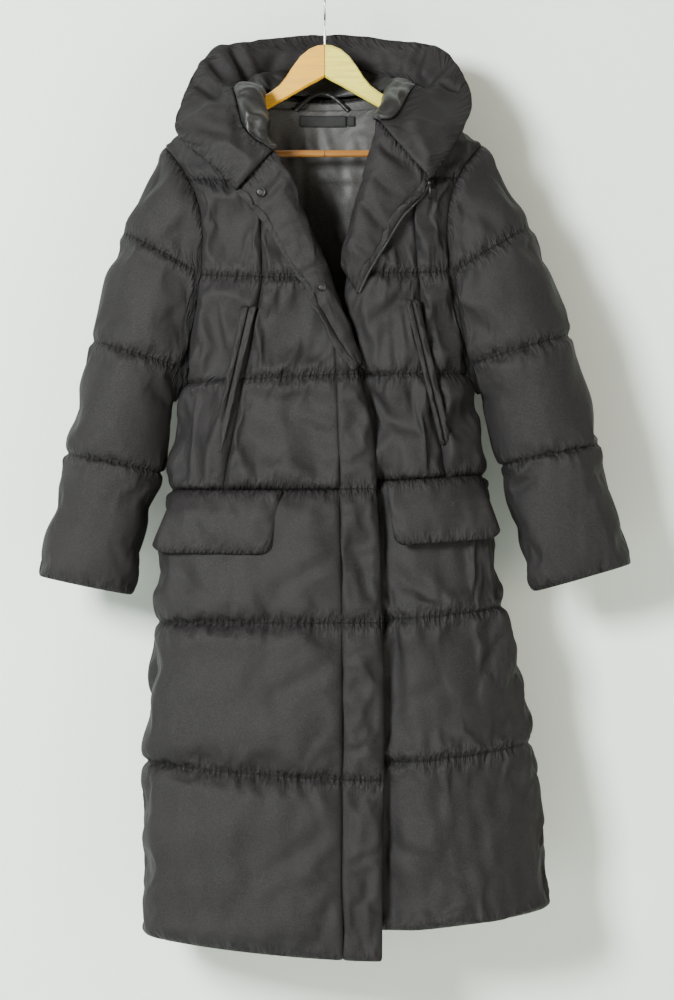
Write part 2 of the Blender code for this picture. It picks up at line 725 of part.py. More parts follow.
FLAPS = (
    Flap("flap_right", -1, EdgePoint(-700, -207), EdgePoint(-700, -58), EdgePoint(-784, -240), EdgePoint(-787, -72)),
    Flap("flap_left", 1, EdgePoint(-680, 215), EdgePoint(-688, 84), EdgePoint(-764, 244), EdgePoint(-775, 95)),
)
FLAP_CORNER = 10.0
FLAP_FLARE = 48.0  # how much wider than the waist the flaps' feet are spread
FLAP_ROWS = (0.0, 0.15, 0.4, 0.7, 0.92, 1.0)
FLAP_LIFTS = (8.35, 13.0, 17.0, 19.0, 20.0, 20.5)
WAIST_LINE = QUILT_LINES[WAIST]


def add_flaps():
    """The two flaps, sewn at the waist line and standing off the skirt at their feet."""
    for flap in FLAPS:
        columns = np.array((0.0, 0.03, 0.1, 0.3, 0.5, 0.7, 0.9, 0.97, 1.0))
        points = np.empty((len(FLAP_ROWS), len(columns), 3))
        for i, down in enumerate(FLAP_ROWS):
            for j, over in enumerate(columns):
                top_z, foot_z = (mix(a.z, b.z, over) for a, b in ((flap.top_outer, flap.top_inner),
                                                                 (flap.foot_outer, flap.foot_inner)))
                rounding = FLAP_CORNER * (1 - min(over, 1 - over) / 0.1) ** 2 if min(over, 1 - over) < 0.1 else 0.0
                x = mix(mix(flap.top_outer.x, flap.top_inner.x, over),
                        mix(flap.foot_outer.x, flap.foot_inner.x, over), down)
                z = mix(top_z, foot_z + rounding, down)
                flare = FLAP_FLARE * smooth(down * 1.6)
                y = -swell(x, z, WAIST_LINE.right_x - flare, WAIST_LINE.left_x + flare, WAIST_LINE.depth)
                points[i, j] = (x, y - FLAP_LIFTS[i], z)
        if flap.side > 0:
            points = points[:, ::-1]
        normals = grid_normals(points)
        padded_wall(flap.name, points, normals, fullness(points, (0, 5), 18.0), (3.5, 1.0), SHELL)


def add_snaps():
    """The two press studs on the turned-out front: each a rim with a stud in it."""
    for name, x, z, radius in (("snap_upper", -88, -288, 6.5), ("snap_lower", -4, -419, 5.5)):
        y = lapel_face(x, z) - 0.4
        bm = bmesh.new()
        bmesh.ops.create_circle(bm, cap_ends=True, segments=24, radius=radius * MM)
        start = bm.faces[:]
        made = bmesh.ops.extrude_face_region(bm, geom=start)
        bmesh.ops.translate(bm, verts=[v for v in made["geom"] if isinstance(v, bmesh.types.BMVert)],
                            vec=(0, 0, 1.6 * MM))
        top = [face for face in made["geom"] if isinstance(face, bmesh.types.BMFace)]
        bmesh.ops.inset_region(bm, faces=top, thickness=radius * 0.3 * MM)
        bmesh.ops.translate(bm, verts=top[0].verts[:], vec=(0, 0, -0.9 * MM))
        bmesh.ops.inset_region(bm, faces=top, thickness=radius * 0.25 * MM)
        bmesh.ops.translate(bm, verts=top[0].verts[:], vec=(0, 0, 0.6 * MM))
        obj = add_object(name, bm, SNAP_METAL)
        obj.location = (x * MM, y * MM, z * MM)
        obj.rotation_euler = (math.pi / 2, 0, 0)


def lapel_face(x, z):
    """How far forward the turned-out right front's surface is."""
    right, left, depth = section_at(1.5)
    return -swell(x, z, right, left, depth) - 21.0 - STITCHED - 2.6


TAPE_OVERLAP = 4.3


def add_zip_tape():
    """The half of the zip that shows: its tape and coil, along the turned-out left front's edge."""
    rows = refined(np.array(LAPEL_LEFT, dtype=float), 2)
    right, left, depth = section_at(1.5)
    points = []
    for row in rows:
        roll, outer = row[:2], row[2:]
        along = (outer - roll) / np.linalg.norm(outer - roll)
        line = []
        for distance, height in ((1.0, 20.0), (4.5, 20.0), (8.0, 19.0)):
            x, z = outer + along * (distance - TAPE_OVERLAP)
            line.append((x, -swell(x, z, right, left, depth) + tuck(x, z) - height, z))
        points.append(line)
    points = np.array(points)
    normals = grid_normals(points)
    wall("zip_tape", points + normals * 1.1, points - normals * 1.1, TAPE)


def back_inside(x, z, lift):
    """A point in front of the back's inner surface."""
    v = next(line for line in range(HEM) if line_height(QUILT_LINES[line + 1], "back", x) < z or line == HEM - 1)
    right, left, depth = section_at(v + 0.5)
    return np.array((x, swell(x, z, right, left, depth) - lift, z))


LINING_TOP_LIFT, LINING_LIFT, LABEL_LIFT, LOOP_LIFT = 10.4, 12.5, 15.6, 15.6  # in front of the back's middle surface


def add_back_lining():
    """The lining that shows inside the back, from the neck seam to below the opening."""
    points = np.empty((9, 9, 3))
    for i, down in enumerate(np.linspace(0, 1, 9)):
        for j, over in enumerate(np.linspace(-1, 1, 9)):
            x = over * mix(80, 130, down)
            z = mix(-160, -520, down)
            points[i, j] = back_inside(x, z, LINING_LIFT if i else LINING_TOP_LIFT)
    normals = -grid_normals(points)
    wall("back_lining", points + normals, points - normals, LINING)


def add_label():
    """The bare woven label below the back neck seam."""
    points = np.empty((3, 5, 3))
    for i, z in enumerate((-168, -176, -184)):
        for j, x in enumerate(np.linspace(-36, 30, 5)):
            points[i, j] = back_inside(x, z, LABEL_LIFT)
    normals = -grid_normals(points)
    wall("label", points + normals * 0.5, points - normals * 0.5, TAPE)


def tube(name, route, radius, finish, sides=2):
    """A round rod or cord along a route."""
    curve = bpy.data.curves.new(name, "CURVE")
    curve.dimensions = "3D"
    curve.bevel_depth = radius * MM
    curve.bevel_resolution = sides
    curve.use_fill_caps = True
    spline = curve.splines.new("POLY")
    spline.points.add(len(route) - 1)
    for point, place in zip(spline.points, route, strict=True):
        point.co = (*(np.array(place) * MM), 1.0)
    curve.materials.append(material(finish))
    obj = bpy.data.objects.new(name, curve)
    bpy.context.scene.collection.objects.link(obj)


LOOP_X, LOOP_HALF, LOOP_FOOT_Z, LOOP_RISE = -4.0, 37.0, -162.0, 25.0


def add_hang_loop():
    """The rolled hanging loop across the inside of the back neck."""
    route = []
    for turn in np.linspace(-1, 1, 13):
        arch = math.cos(turn * math.pi / 2)
        x, z = LOOP_X + LOOP_HALF * turn, LOOP_FOOT_Z + LOOP_RISE * arch
        route.append((x, back_inside(x, LOOP_FOOT_Z, LOOP_LIFT)[1], z))
    tube("hang_loop", route, 3.0, LINING)


class HangerSection(NamedTuple):
    """Upper and lower edge of the wooden hanger at one distance from its middle."""

    x: float
    top_z: float
    bottom_z: float


HANGER = (
    HangerSection(0, -74, -119), HangerSection(10, -75, -125), HangerSection(22, -80, -131),
    HangerSection(34, -90, -138), HangerSection(46, -106, -145), HangerSection(55, -120, -150),
    HangerSection(64, -131, -155), HangerSection(76, -140, -162), HangerSection(95, -150.5, -174),
    HangerSection(130, -170.5, -198), HangerSection(168, -192.5, -226), HangerSection(192, -206.5, -238),
    HangerSection(ARM_TIP_X, -216, -234),
)


def add_hanger():
    """The wooden arms with their dome, the round bar between them and the wire hook."""
    sections = [HangerSection(-section.x, *section[1:]) for section in HANGER[:0:-1]] + list(HANGER)
    bm = bmesh.new()
    half = ARM_THICKNESS / 2 * MM
    rings = []
    for section in sections:
        top, bottom = section.top_z * MM, section.bottom_z * MM
        soft = 3 * MM
        ring = [bm.verts.new((section.x * MM, y, z)) for y, z in (
            (-half + soft, top), (half - soft, top), (half, top - soft), (half, bottom + soft),
            (half - soft, bottom), (-half + soft, bottom), (-half, bottom + soft), (-half, top - soft))]
        rings.append(ring)
    edges = []
    for ring in rings:
        edges.append([bm.edges.new((ring[i], ring[(i + 1) % len(ring)])) for i in range(len(ring))])
    for first, second in zip(edges, edges[1:], strict=False):
        bmesh.ops.bridge_loops(bm, edges=first + second)
    for ring in (rings[0], rings[-1]):
        bmesh.ops.contextual_create(bm, geom=ring)
    arms = add_object("hanger_arms", bm, WOOD)
    cutter_reach = BAR_HALF + 0.5
    add_bar_sockets(arms, cutter_reach)
    tube("hanger_bar", [(x, 0, BAR_Z) for x in (-BAR_HALF, 0, BAR_HALF)], BAR_RADIUS, WOOD, sides=4)
    centre = -HOOK_RADIUS - HOOK_WIRE / 2
    reach = HOOK_RADIUS + HOOK_WIRE / 2
    turns = np.linspace(-math.pi / 2, -math.pi * 1.72, 22)
    curl = [(0, reach * math.cos(turn), -reach + HOOK_WIRE / 2 + reach * math.sin(turn)) for turn in turns]
    stem = [(0, 0, z) for z in (-73.6, -62, -52)]
    tube("hanger_hook", [*stem, (0, -0.6, centre - reach - 6), *curl[1:]], HOOK_WIRE / 2, STEEL)


def add_bar_sockets(arms, reach):
    """Cuts the blind holes in the arms that the bar's ends sit in."""
    bm = bmesh.new()
    bmesh.ops.create_cone(bm, cap_ends=True, segments=20, radius1=(BAR_RADIUS + 0.3) * MM,
                          radius2=(BAR_RADIUS + 0.3) * MM, depth=2 * reach * MM)
    mesh = bpy.data.meshes.new("bar_socket")
    bm.to_mesh(mesh)
    bm.free()
    cutter = bpy.data.objects.new("bar_socket", mesh)
    cutter.location = (0, 0, BAR_Z * MM)
    cutter.rotation_euler = (0, math.pi / 2, 0)
    cutter.hide_render = True
    cutter.display_type = "WIRE"
    bpy.context.scene.collection.objects.link(cutter)
    cut = arms.modifiers.new("bar_sockets", "BOOLEAN")
    cut.object = cutter
    cut.operation = "DIFFERENCE"
    cut.solver = "EXACT"


def main():
    """Builds the coat and its hanger."""
    for obj in bpy.data.objects[:]:
        bpy.data.objects.remove(obj)
    add_body()
    add_sleeve("sleeve_right", -1, SLEEVE_RIGHT, STITCHES_RIGHT)
    add_sleeve("sleeve_left", 1, SLEEVE_LEFT, STITCHES_LEFT)
    add_hood()
    add_lapels()
    add_placket()
    add_welts()
    add_flaps()
    add_snaps()
    add_zip_tape()
    add_back_lining()
    add_label()
    add_hang_loop()
    add_hanger()


main()
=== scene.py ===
"""Visual model of a long hooded down coat that hangs open at the neck on a wooden hanger.

Tables and lengths are in millimetres and become metres when a mesh is made. The origin is inside the crown
of the hanger's hook, +Z is up, the coat's front faces -Y and the wearer's right side is at -X. Each quilted
piece starts as a worked-out middle surface. Its outer cloth is pinned at the stitching, blown up and let grow
a little, so that it gathers along the seams, and then becomes one side of a closed wall.
"""

import json
import logging
import math
from dataclasses import dataclass, field
from enum import Enum
from typing import Callable, Iterable, NamedTuple

import bmesh
import bpy
import numpy as np
from mathutils import Matrix, Vector

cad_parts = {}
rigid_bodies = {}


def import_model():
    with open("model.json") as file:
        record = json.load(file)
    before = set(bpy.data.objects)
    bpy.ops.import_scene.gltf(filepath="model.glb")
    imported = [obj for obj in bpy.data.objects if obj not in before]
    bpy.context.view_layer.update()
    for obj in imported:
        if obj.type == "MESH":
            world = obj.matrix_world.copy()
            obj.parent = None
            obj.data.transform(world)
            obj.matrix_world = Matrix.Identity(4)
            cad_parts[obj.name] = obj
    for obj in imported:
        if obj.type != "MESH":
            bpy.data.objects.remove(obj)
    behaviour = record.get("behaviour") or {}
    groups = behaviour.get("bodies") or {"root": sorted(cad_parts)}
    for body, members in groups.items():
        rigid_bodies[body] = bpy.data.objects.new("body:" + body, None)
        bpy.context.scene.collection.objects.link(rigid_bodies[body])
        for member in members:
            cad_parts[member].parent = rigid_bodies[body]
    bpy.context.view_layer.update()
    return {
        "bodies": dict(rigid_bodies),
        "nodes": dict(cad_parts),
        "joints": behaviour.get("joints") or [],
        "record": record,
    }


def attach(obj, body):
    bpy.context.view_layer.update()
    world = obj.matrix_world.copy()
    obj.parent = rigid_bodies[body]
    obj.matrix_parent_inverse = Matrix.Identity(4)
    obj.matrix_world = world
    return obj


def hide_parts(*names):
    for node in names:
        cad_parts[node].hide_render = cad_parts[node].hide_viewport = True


LOG = logging.getLogger("coat")
Array = np.ndarray

MM = 0.001
GAP = 0.4  # between the fronts and the back at the side seams
OVERLAP = 0.7  # how far the edges of two pieces that are sewn together run into each other
STITCHED = 1.7  # half the thickness of a quilted wall at its stitching
ROUNDNESS = 2.3  # exponent of the body's rounded section
SHOULDER_SLOPE = 0.575
NECK_X, NECK_Z = 88.0, -141.0
SHOULDER_ROLL = 110.0
BACK_NECK_DIP = 8.0
YOKE_FOOT = -265.0
FRONT_EDGE_X = 78.0
TUCK_DEPTH = 24.0
TUCK_WIDTH = 46.0
YOKE_FRACTIONS = (0.0, 0.22, 0.45, 0.7)
PILLOW_FRACTIONS = (0.0, 0.22, 0.78)
SLEEVE_CAP_BULGE = 25.0
UNDERARM_GAP = 4.2
CELLS_BETWEEN_LINES = (14, 17, 18, 19, 24, 26, 31)  # rows of cloth between one quilt line and the next
SLEEVE_STEPS = 5  # sides of a sleeve for each of its armhole's coarse rows
WALL_Y = 150.0
FLOOR_Z = -1750.0
SOFT_SEAM = 0.94  # the padding's share where the placket joins the right front
FRAMES = 18
GATHER_ALLOWANCE = 1.08  # cloth cut for each length that shows


class Face(Enum):
    """Which side of the body a surface belongs to; left and right are the wearer's."""

    BACK = "back"
    RIGHT = "right"
    LEFT = "left"


class QuiltLine(NamedTuple):
    """A line of stitching round the body: its ends at the side seams and its heights at the front opening."""

    right_x: float
    left_x: float
    right_z: float
    right_front_z: float
    left_front_z: float
    left_z: float
    depth: float


QUILT_LINES = (
    QuiltLine(-236, 232, -218, -141, -141, -216, 62),  # shoulder seam, whose height follows the slope
    QuiltLine(-235, 231, -266, -274, -270, -262, 63),  # yoke
    QuiltLine(-221, 219, -396, -408, -398, -391, 68),  # chest
    QuiltLine(-188, 193, -549, -537, -537, -536, 71),  # underarm
    QuiltLine(-210, 217, -698, -696, -684, -678, 74),  # waist
    QuiltLine(-227, 243, -881, -880, -876, -860, 80),  # hip
    QuiltLine(-243, 281, -1075, -1096, -1072, -1050, 86),  # knee
    QuiltLine(-248, 306, -1317, -1344, -1304, -1280, 92),  # hem
)
CHEST, UNDERARM, WAIST, HEM = 2, 3, 4, 7  # places in QUILT_LINES


class EdgePoint(NamedTuple):
    """One point of an edge that runs down the body: its height, and how far across it is."""

    z: float
    x: float


ARMHOLE_RIGHT = (
    EdgePoint(-218, -222), EdgePoint(-249, -198), EdgePoint(-281, -181), EdgePoint(-309, -172),
    EdgePoint(-342, -168), EdgePoint(-388, -170), EdgePoint(-441, -177), EdgePoint(-489, -187),
    EdgePoint(-549, -188),
)
ARMHOLE_LEFT = (
    EdgePoint(-216, 218), EdgePoint(-246, 194), EdgePoint(-278, 178), EdgePoint(-309, 171),
    EdgePoint(-342, 169), EdgePoint(-388, 170), EdgePoint(-441, 178), EdgePoint(-489, 188),
    EdgePoint(-536, 193),
)
PRINCESS_RIGHT = (EdgePoint(-160, -122), EdgePoint(-320, -88), EdgePoint(-409, -86), EdgePoint(-445, -92),
                  EdgePoint(-684, -138), EdgePoint(-700, -141))
PRINCESS_LEFT = (EdgePoint(-160, 130), EdgePoint(-320, 124), EdgePoint(-389, 128), EdgePoint(-431, 132),
                 EdgePoint(-678, 166), EdgePoint(-700, 169))
OPENING_RIGHT = (EdgePoint(-141, -88), EdgePoint(-223, -78), EdgePoint(-276, -47), EdgePoint(-351, -18.5),
                 EdgePoint(-425, 10), EdgePoint(-470, 15), EdgePoint(-540, 17), EdgePoint(-630, 20),
                 EdgePoint(-876, 25), EdgePoint(-1345, 26))
OPENING_LEFT = (EdgePoint(-141, 88), EdgePoint(-214, 71.6), EdgePoint(-283, 54.6), EdgePoint(-361, 34.2),
                EdgePoint(-437, 28), EdgePoint(-537, 28), EdgePoint(-1305, 30))
PLACKET_FREE_EDGE = (EdgePoint(-330, 0), EdgePoint(-425, 14), EdgePoint(-478, 25), EdgePoint(-545, 48),
                     EdgePoint(-600, 64), EdgePoint(-644, 68), EdgePoint(-752, 74), EdgePoint(-985, 81),
                     EdgePoint(-1345, 77))


class LapelRow(NamedTuple):
    """A line across a turned-out front: where it rolls over, and where its outer edge lies."""

    roll_x: float
    roll_z: float
    outer_x: float
    outer_z: float


LAPEL_RIGHT = (
    LapelRow(-72, -234, -121, -288), LapelRow(-57, -254, -103, -308), LapelRow(-44, -278, -83, -332),
    LapelRow(-31, -315, -59, -370), LapelRow(-16, -352, -38, -404), LapelRow(-2, -386, -25, -421),
    LapelRow(13, -426, -14, -448), LapelRow(33, -478, 14, -499), LapelRow(48, -522, 36, -530),
)
LAPEL_LEFT = (
    LapelRow(74, -191, 145, -270), LapelRow(68, -222, 133, -290), LapelRow(61, -254, 119, -305),
    LapelRow(53, -286, 104, -322), LapelRow(42, -324, 82, -358), LapelRow(32, -363, 60, -394),
    LapelRow(28, -392, 46, -424),
)


class HoodStation(NamedTuple):
    """One place round the hood's opening: the neck seam, the lining's seam and the hood's outer edge."""

    neck_x: float
    neck_z: float
    forward: float
    seam_x: float
    seam_y: float
    seam_z: float
    edge_x: float
    edge_y: float
    edge_z: float
    fullness: float


HOOD = (
    HoodStation(-79, -226, 1, -72, -84, -229, -122, -84, -284, 0.0),
    HoodStation(-82, -204, 1, -97, -80, -213, -156, -74, -248, 0.0),
    HoodStation(-85, -180, 1, -113, -66, -198, -187, -60, -222, 0.05),
    HoodStation(-87, -158, 0.8, -123, -46, -174, -205, -40, -194, 0.12),
    HoodStation(-88, -143, 0.3, -127, -20, -151, -197, -12, -153, 0.3),
    HoodStation(-78, -145, 0, -119, 14, -129, -178, 14, -108, 0.55),
    HoodStation(-55, -147, 0, -95, 47, -113, -155, 34, -76, 0.8),
    HoodStation(-28, -149, 0, -47, 74, -107, -106, 48, -64, 0.95),
    HoodStation(0, -149, 0, 0, 82, -107, 0, 54, -54, 1.0),
    HoodStation(28, -149, 0, 50, 74, -109, 106, 48, -64, 0.95),
    HoodStation(55, -147, 0, 99, 44, -119, 162, 33, -77, 0.8),
    HoodStation(78, -145, 0, 140, 8, -141, 192, 10, -117, 0.55),
    HoodStation(88, -143, 0.3, 123, -24, -167, 202, -16, -160, 0.3),
    HoodStation(85, -158, 0.8, 98, -54, -193, 184, -62, -208, 0.1),
    HoodStation(78, -190, 1, 75, -72, -189, 145, -84, -268, 0.0),
)


class SleeveRing(NamedTuple):
    """One ring of a sleeve: its outer and inner points seen from the front, and half its depth."""

    outer_x: float
    outer_z: float
    inner_x: float
    inner_z: float
    half_depth: float


class StitchLine(NamedTuple):
    """A straight line of stitching across a sleeve, seen from the front."""

    outer_x: float
    outer_z: float
    inner_x: float
    inner_z: float


SLEEVE_RIGHT = (SleeveRing(-320, -492, -220, -578, 53), SleeveRing(-355, -647, -235, -671, 46),
                SleeveRing(-396, -817, -274, -842, 30))
SLEEVE_LEFT = (SleeveRing(336, -482, 227, -568, 53), SleeveRing(378, -634, 253, -660, 46),
               SleeveRing(425, -800, 296, -837, 30))
STITCHES_RIGHT = (StitchLine(-279, -339, -181, -393), StitchLine(-320, -491, -204, -525),
                  StitchLine(-355, -647, -235, -671))
STITCHES_LEFT = (StitchLine(283, -332, 188, -388), StitchLine(336, -482, 210, -519),
                 StitchLine(378, -634, 253, -660))


class Welt(NamedTuple):
    """A narrow strip beside a slanted pocket: the middle of its top and foot, and its widths."""

    name: str
    face: str
    top_x: float
    top_z: float
    foot_x: float
    foot_z: float
    top_width: float
    foot_width: float


WELT_LIFT = 12.0
WELTS = (
    Welt("welt_outer_right", "right", -109, -444, -154, -648, 10, 7.5),
    Welt("welt_inner_right", "right", -98.4, -444, -145.7, -648, 10, 7.5),
    Welt("welt_inner_left", "left", 113.9, -434, 161.9, -635, 8, 7.0),
    Welt("welt_outer_left", "left", 124, -434, 170.5, -635, 11, 9.0),
)


class Flap(NamedTuple):
    """A pocket flap: which side it is on, and the ends of its top and bottom edges."""

    name: str
    side: int
    top_outer: EdgePoint
    top_inner: EdgePoint
    foot_outer: EdgePoint
    foot_inner: EdgePoint


FLAPS = (
    Flap("flap_right", -1, EdgePoint(-700, -207), EdgePoint(-700, -58),
         EdgePoint(-784, -240), EdgePoint(-787, -72)),
    Flap("flap_left", 1, EdgePoint(-680, 215), EdgePoint(-688, 84),
         EdgePoint(-764, 244), EdgePoint(-775, 95)),
)


def mix(first: float | Array, second: float | Array, share: float | Array) -> float | Array:
    """Blends two values.

    Args:
        first: The value at share 0.
        second: The value at share 1.
        share: How far to go from the first to the second.

    Returns:
        The blended value.
    """
    return first + (second - first) * share


def smooth(share: float) -> float:
    """Eases a share.

    Args:
        share: Any number; it is held between 0 and 1.

    Returns:
        A value on an S curve from 0 to 1.
    """
    share = min(max(share, 0.0), 1.0)
    return share * share * (3 - 2 * share)


def across(edge: Iterable[EdgePoint], z: float) -> float:
    """Finds how far across an edge of the body is.

    Args:
        edge: The edge's points, from the top down.
        z: The height.

    Returns:
        The edge's X at that height.
    """
    return float(np.interp(-z, [-point.z for point in edge], [point.x for point in edge]))


def refined(values: Array, steps: int) -> Array:
    """Draws a smooth curve through rows of values.

    Args:
        values: The rows that the curve passes through.
        steps: How many steps to take from each row to the next.

    Returns:
        The rows of the curve.
    """
    ends = np.concatenate([2 * values[:1] - values[1:2], values, 2 * values[-1:] - values[-2:-1]])
    curve = []
    for i in range(1, len(ends) - 2):
        before, here, there, after = ends[i - 1:i + 3]
        for t in np.arange(steps) / steps:
            curve.append(0.5 * (2 * here + (there - before) * t
                                + (2 * before - 5 * here + 4 * there - after) * t**2
                                + (3 * here - before - 3 * there + after) * t**3))
    return np.array([*curve, values[-1]])


def lengths_along(points: Array, axis: int) -> Array:
    """Measures a grid of points.

    Args:
        points: Rows and columns of points.
        axis: 0 to measure down the columns, 1 to measure along the rows.

    Returns:
        Each point's distance from the first one.
    """
    steps = np.linalg.norm(np.diff(points, axis=axis), axis=2)
    start = np.zeros_like(np.take(steps, [0], axis=axis))
    return np.concatenate([start, np.cumsum(steps, axis=axis)], axis=axis)


def pillow(distance: Array, reach: float) -> Array:
    """Finds how full the padding is near stitching.

    Args:
        distance: Distance from the stitching.
        reach: Distance at which the padding is full.

    Returns:
        A share from 0 at the stitching to 1 beyond the reach.
    """
    share = np.clip(distance / reach, 0.0, 1.0)
    return np.sqrt(1 - (1 - share) ** 2)


def unit(vectors: Array) -> Array:
    """Scales vectors to length 1.

    Args:
        vectors: An array whose last axis is X, Y, Z.

    Returns:
        The scaled vectors.
    """
    return vectors / np.maximum(np.linalg.norm(vectors, axis=-1, keepdims=True), 1e-9)


def grid_normals(points: Array, closed: bool = False) -> Array:
    """Finds directions out of a grid of points.

    Args:
        points: Rows and columns of points.
        closed: Whether the last column is next to the first.

    Returns:
        Unit vectors, towards the side from which columns run left to right as rows run down.
    """
    if closed:
        wide = np.concatenate([points[:, -1:], points, points[:, :1]], axis=1)
        over = wide[:, 2:] - wide[:, :-2]
    else:
        over = np.gradient(points, axis=1)
    return unit(np.cross(np.gradient(points, axis=0), over))


def waves(points: Array, length: float, seed: int, stretch: tuple[float, float, float] = (1, 1, 1)) -> Array:
    """Makes smooth, uneven noise.

    Args:
        points: Places to find the noise at, in millimetres.
        length: Typical distance between two humps.
        seed: Chooses the pattern.
        stretch: How much longer the humps are along X, Y and Z.

    Returns:
        Values mostly between -1 and 1.
    """
    chance = np.random.default_rng(seed)
    total = np.zeros(points.shape[:-1])
    scaled = points / np.array(stretch)
    for _ in range(9):
        direction = unit(chance.normal(size=3))
        pitch = length * chance.uniform(0.7, 1.8)
        total += np.sin(scaled @ direction * 2 * math.pi / pitch + chance.uniform(0, 2 * math.pi))
    return total / 3.2


class BodyShape:
    """The middle surface of the coat's body, worked out from the quilt lines."""

    @staticmethod
    def shoulder_height(x: float) -> float:
        """Height of the shoulder seam's line at this distance across."""
        return NECK_Z - SHOULDER_SLOPE * (abs(x) - NECK_X)

    @staticmethod
    def line_height(line: QuiltLine, face: Face, x: float) -> float:
        """Height of a quilt line on one face of the body."""
        if face is Face.BACK:
            return mix(line.right_z, line.left_z, (x - line.right_x) / (line.left_x - line.right_x))
        if face is Face.RIGHT:
            share = (x - line.right_x) / (FRONT_EDGE_X - line.right_x)
            side, front = line.right_z, line.right_front_z
        else:
            share = (line.left_x - x) / (line.left_x - FRONT_EDGE_X)
            side, front = line.left_z, line.left_front_z
        return mix(side, front, 1 - (1 - min(max(share, 0.0), 1.0)) ** 1.5)

    @staticmethod
    def section_at(v: float) -> tuple[float, float, float]:
        """Right and left ends and half depth of the section at a row, counted in quilt lines.

        Args:
            v: The row, 0 at the shoulder seam and 7 at the hem.

        Returns:
            Right end, left end and half depth.
        """
        step = min(max(int(v), 0), HEM - 1)
        upper, lower, share = QUILT_LINES[step], QUILT_LINES[step + 1], v - step
        return (mix(upper.right_x, lower.right_x, share), mix(upper.left_x, lower.left_x, share),
                mix(upper.depth, lower.depth, share))

    @classmethod
    def row_height(cls, face: Face, x: float, v: float) -> float:
        """Height of a row of the body at this distance across."""
        step = min(max(int(v), 0), HEM - 1)
        below = cls.line_height(QUILT_LINES[step + 1], face, x)
        if step == 0:
            above = cls.shoulder_height(x)
            if face is Face.BACK and abs(x) < NECK_X:
                above = NECK_Z - BACK_NECK_DIP * (1 - (x / NECK_X) ** 2)
            return mix(above, below, v * v)
        return mix(cls.line_height(QUILT_LINES[step], face, x), below, v - step)

    @classmethod
    def swell(cls, x: float, z: float, right: float, left: float, depth: float) -> float:
        """How far the middle surface stands from the plane of the hanger.

        Args:
            x: Distance across.
            z: Height.
            right: The section's right end.
            left: Its left end.
            depth: Its half depth.

        Returns:
            The distance, never negative.
        """
        centre, half = (right + left) / 2, (left - right) / 2
        share = min(abs(x - centre) / half, 1.0)
        drop = min(max(cls.shoulder_height(x) - z, 0.0) / SHOULDER_ROLL, 1.0)
        return depth * (1 - share**ROUNDNESS) ** (1 / ROUNDNESS) * math.sqrt(1 - (1 - drop) ** 2)

    @staticmethod
    def tuck(x: float, z: float) -> float:
        """How far the left front lies back behind the right front here."""
        beyond = across(PLACKET_FREE_EDGE, z) + 8 + TUCK_WIDTH - x
        return TUCK_DEPTH * smooth(beyond / TUCK_WIDTH) * smooth((-z - 330) / 90)

    @classmethod
    def angle_at(cls, x: float, v: float) -> float:
        """Angle round the section of a point this far across."""
        right, left, _ = cls.section_at(v)
        centre, half = (right + left) / 2, (left - right) / 2
        share = min(abs(x - centre) / half, 1.0) ** (ROUNDNESS / 2)
        return math.copysign(math.asin(share), x - centre)

    @classmethod
    def point(cls, face: Face, angle: float, v: float) -> Array:
        """A point of the middle surface, from its angle round the section and its row.

        Args:
            face: The side of the body.
            angle: Angle round the section, 0 at its middle and a quarter turn at each end.
            v: The row.

        Returns:
            The point.
        """
        right, left, depth = cls.section_at(v)
        centre, half = (right + left) / 2, (left - right) / 2
        sine = math.sin(angle)
        x = centre + half * math.copysign(abs(sine) ** (2 / ROUNDNESS), sine)
        z = cls.row_height(face, x, v)
        y = -cls.swell(x, z, right, left, depth)
        if v < 0 or abs(angle) > math.pi / 2:
            y = -y
        if face is Face.LEFT:
            y += cls.tuck(x, z)
        return np.array((x, -y if face is Face.BACK else y, z))

    @classmethod
    def normal(cls, face: Face, angle: float, v: float) -> Array:
        """The outward direction of the surface, the same for every piece that shares the place."""
        around = cls.point(face, angle + 0.02, v) - cls.point(face, angle - 0.02, v)
        down = cls.point(face, angle, v + 0.02) - cls.point(face, angle, v - 0.02)
        normal = np.cross(around, down) if face is Face.BACK else np.cross(down, around)
        return normal / np.linalg.norm(normal)

    @classmethod
    def edge_angle(cls, face: Face, edge: Iterable[EdgePoint], v: float) -> float:
        """Angle at which a row meets an edge that runs down the body."""
        x = edge[0].x
        for _ in range(12):
            x = mix(x, across(edge, cls.row_height(face, x, v)), 0.7)
        return cls.angle_at(x, v)

    @classmethod
    def side_angle(cls, face: Face, side: int, v: float) -> float:
        """Angle of the armhole or, below it, of the side seam, at a row."""
        if v >= UNDERARM:
            return side * math.pi / 2
        return cls.edge_angle(face, ARMHOLE_LEFT if side > 0 else ARMHOLE_RIGHT, v)

    @classmethod
    def lifted(cls, face: Face, x: float, z: float, lift: float) -> Array:
        """A point lifted off the middle surface, for what is sewn on it or lies inside it.

        Args:
            face: The side of the body.
            x: Distance across.
            z: Height.
            lift: How far off the surface.

        Returns:
            The point.
        """
        v = next(line for line in range(HEM)
                 if cls.line_height(QUILT_LINES[line + 1], face, x) < z or line == HEM - 1)
        right, left, depth = cls.section_at(v + 0.5)
        if face is Face.BACK:
            return np.array((x, cls.swell(x, z, right, left, depth) - lift, z))
        y = -cls.swell(x, z, right, left, depth) - lift
        return np.array((x, y + (cls.tuck(x, z) if face is Face.LEFT else 0.0), z))

    @staticmethod
    def rows(first: int, last: int) -> list[float]:
        """Fine rows from one quilt line to another."""
        return [line + step / CELLS_BETWEEN_LINES[line]
                for line in range(first, last) for step in range(CELLS_BETWEEN_LINES[line])] + [float(last)]


@dataclass(frozen=True)
class Crease:
    """A fold pressed into a surface, seen from the front: its two ends, its depth and its half width."""

    start: tuple[float, float]
    end: tuple[float, float]
    depth: float
    width: float


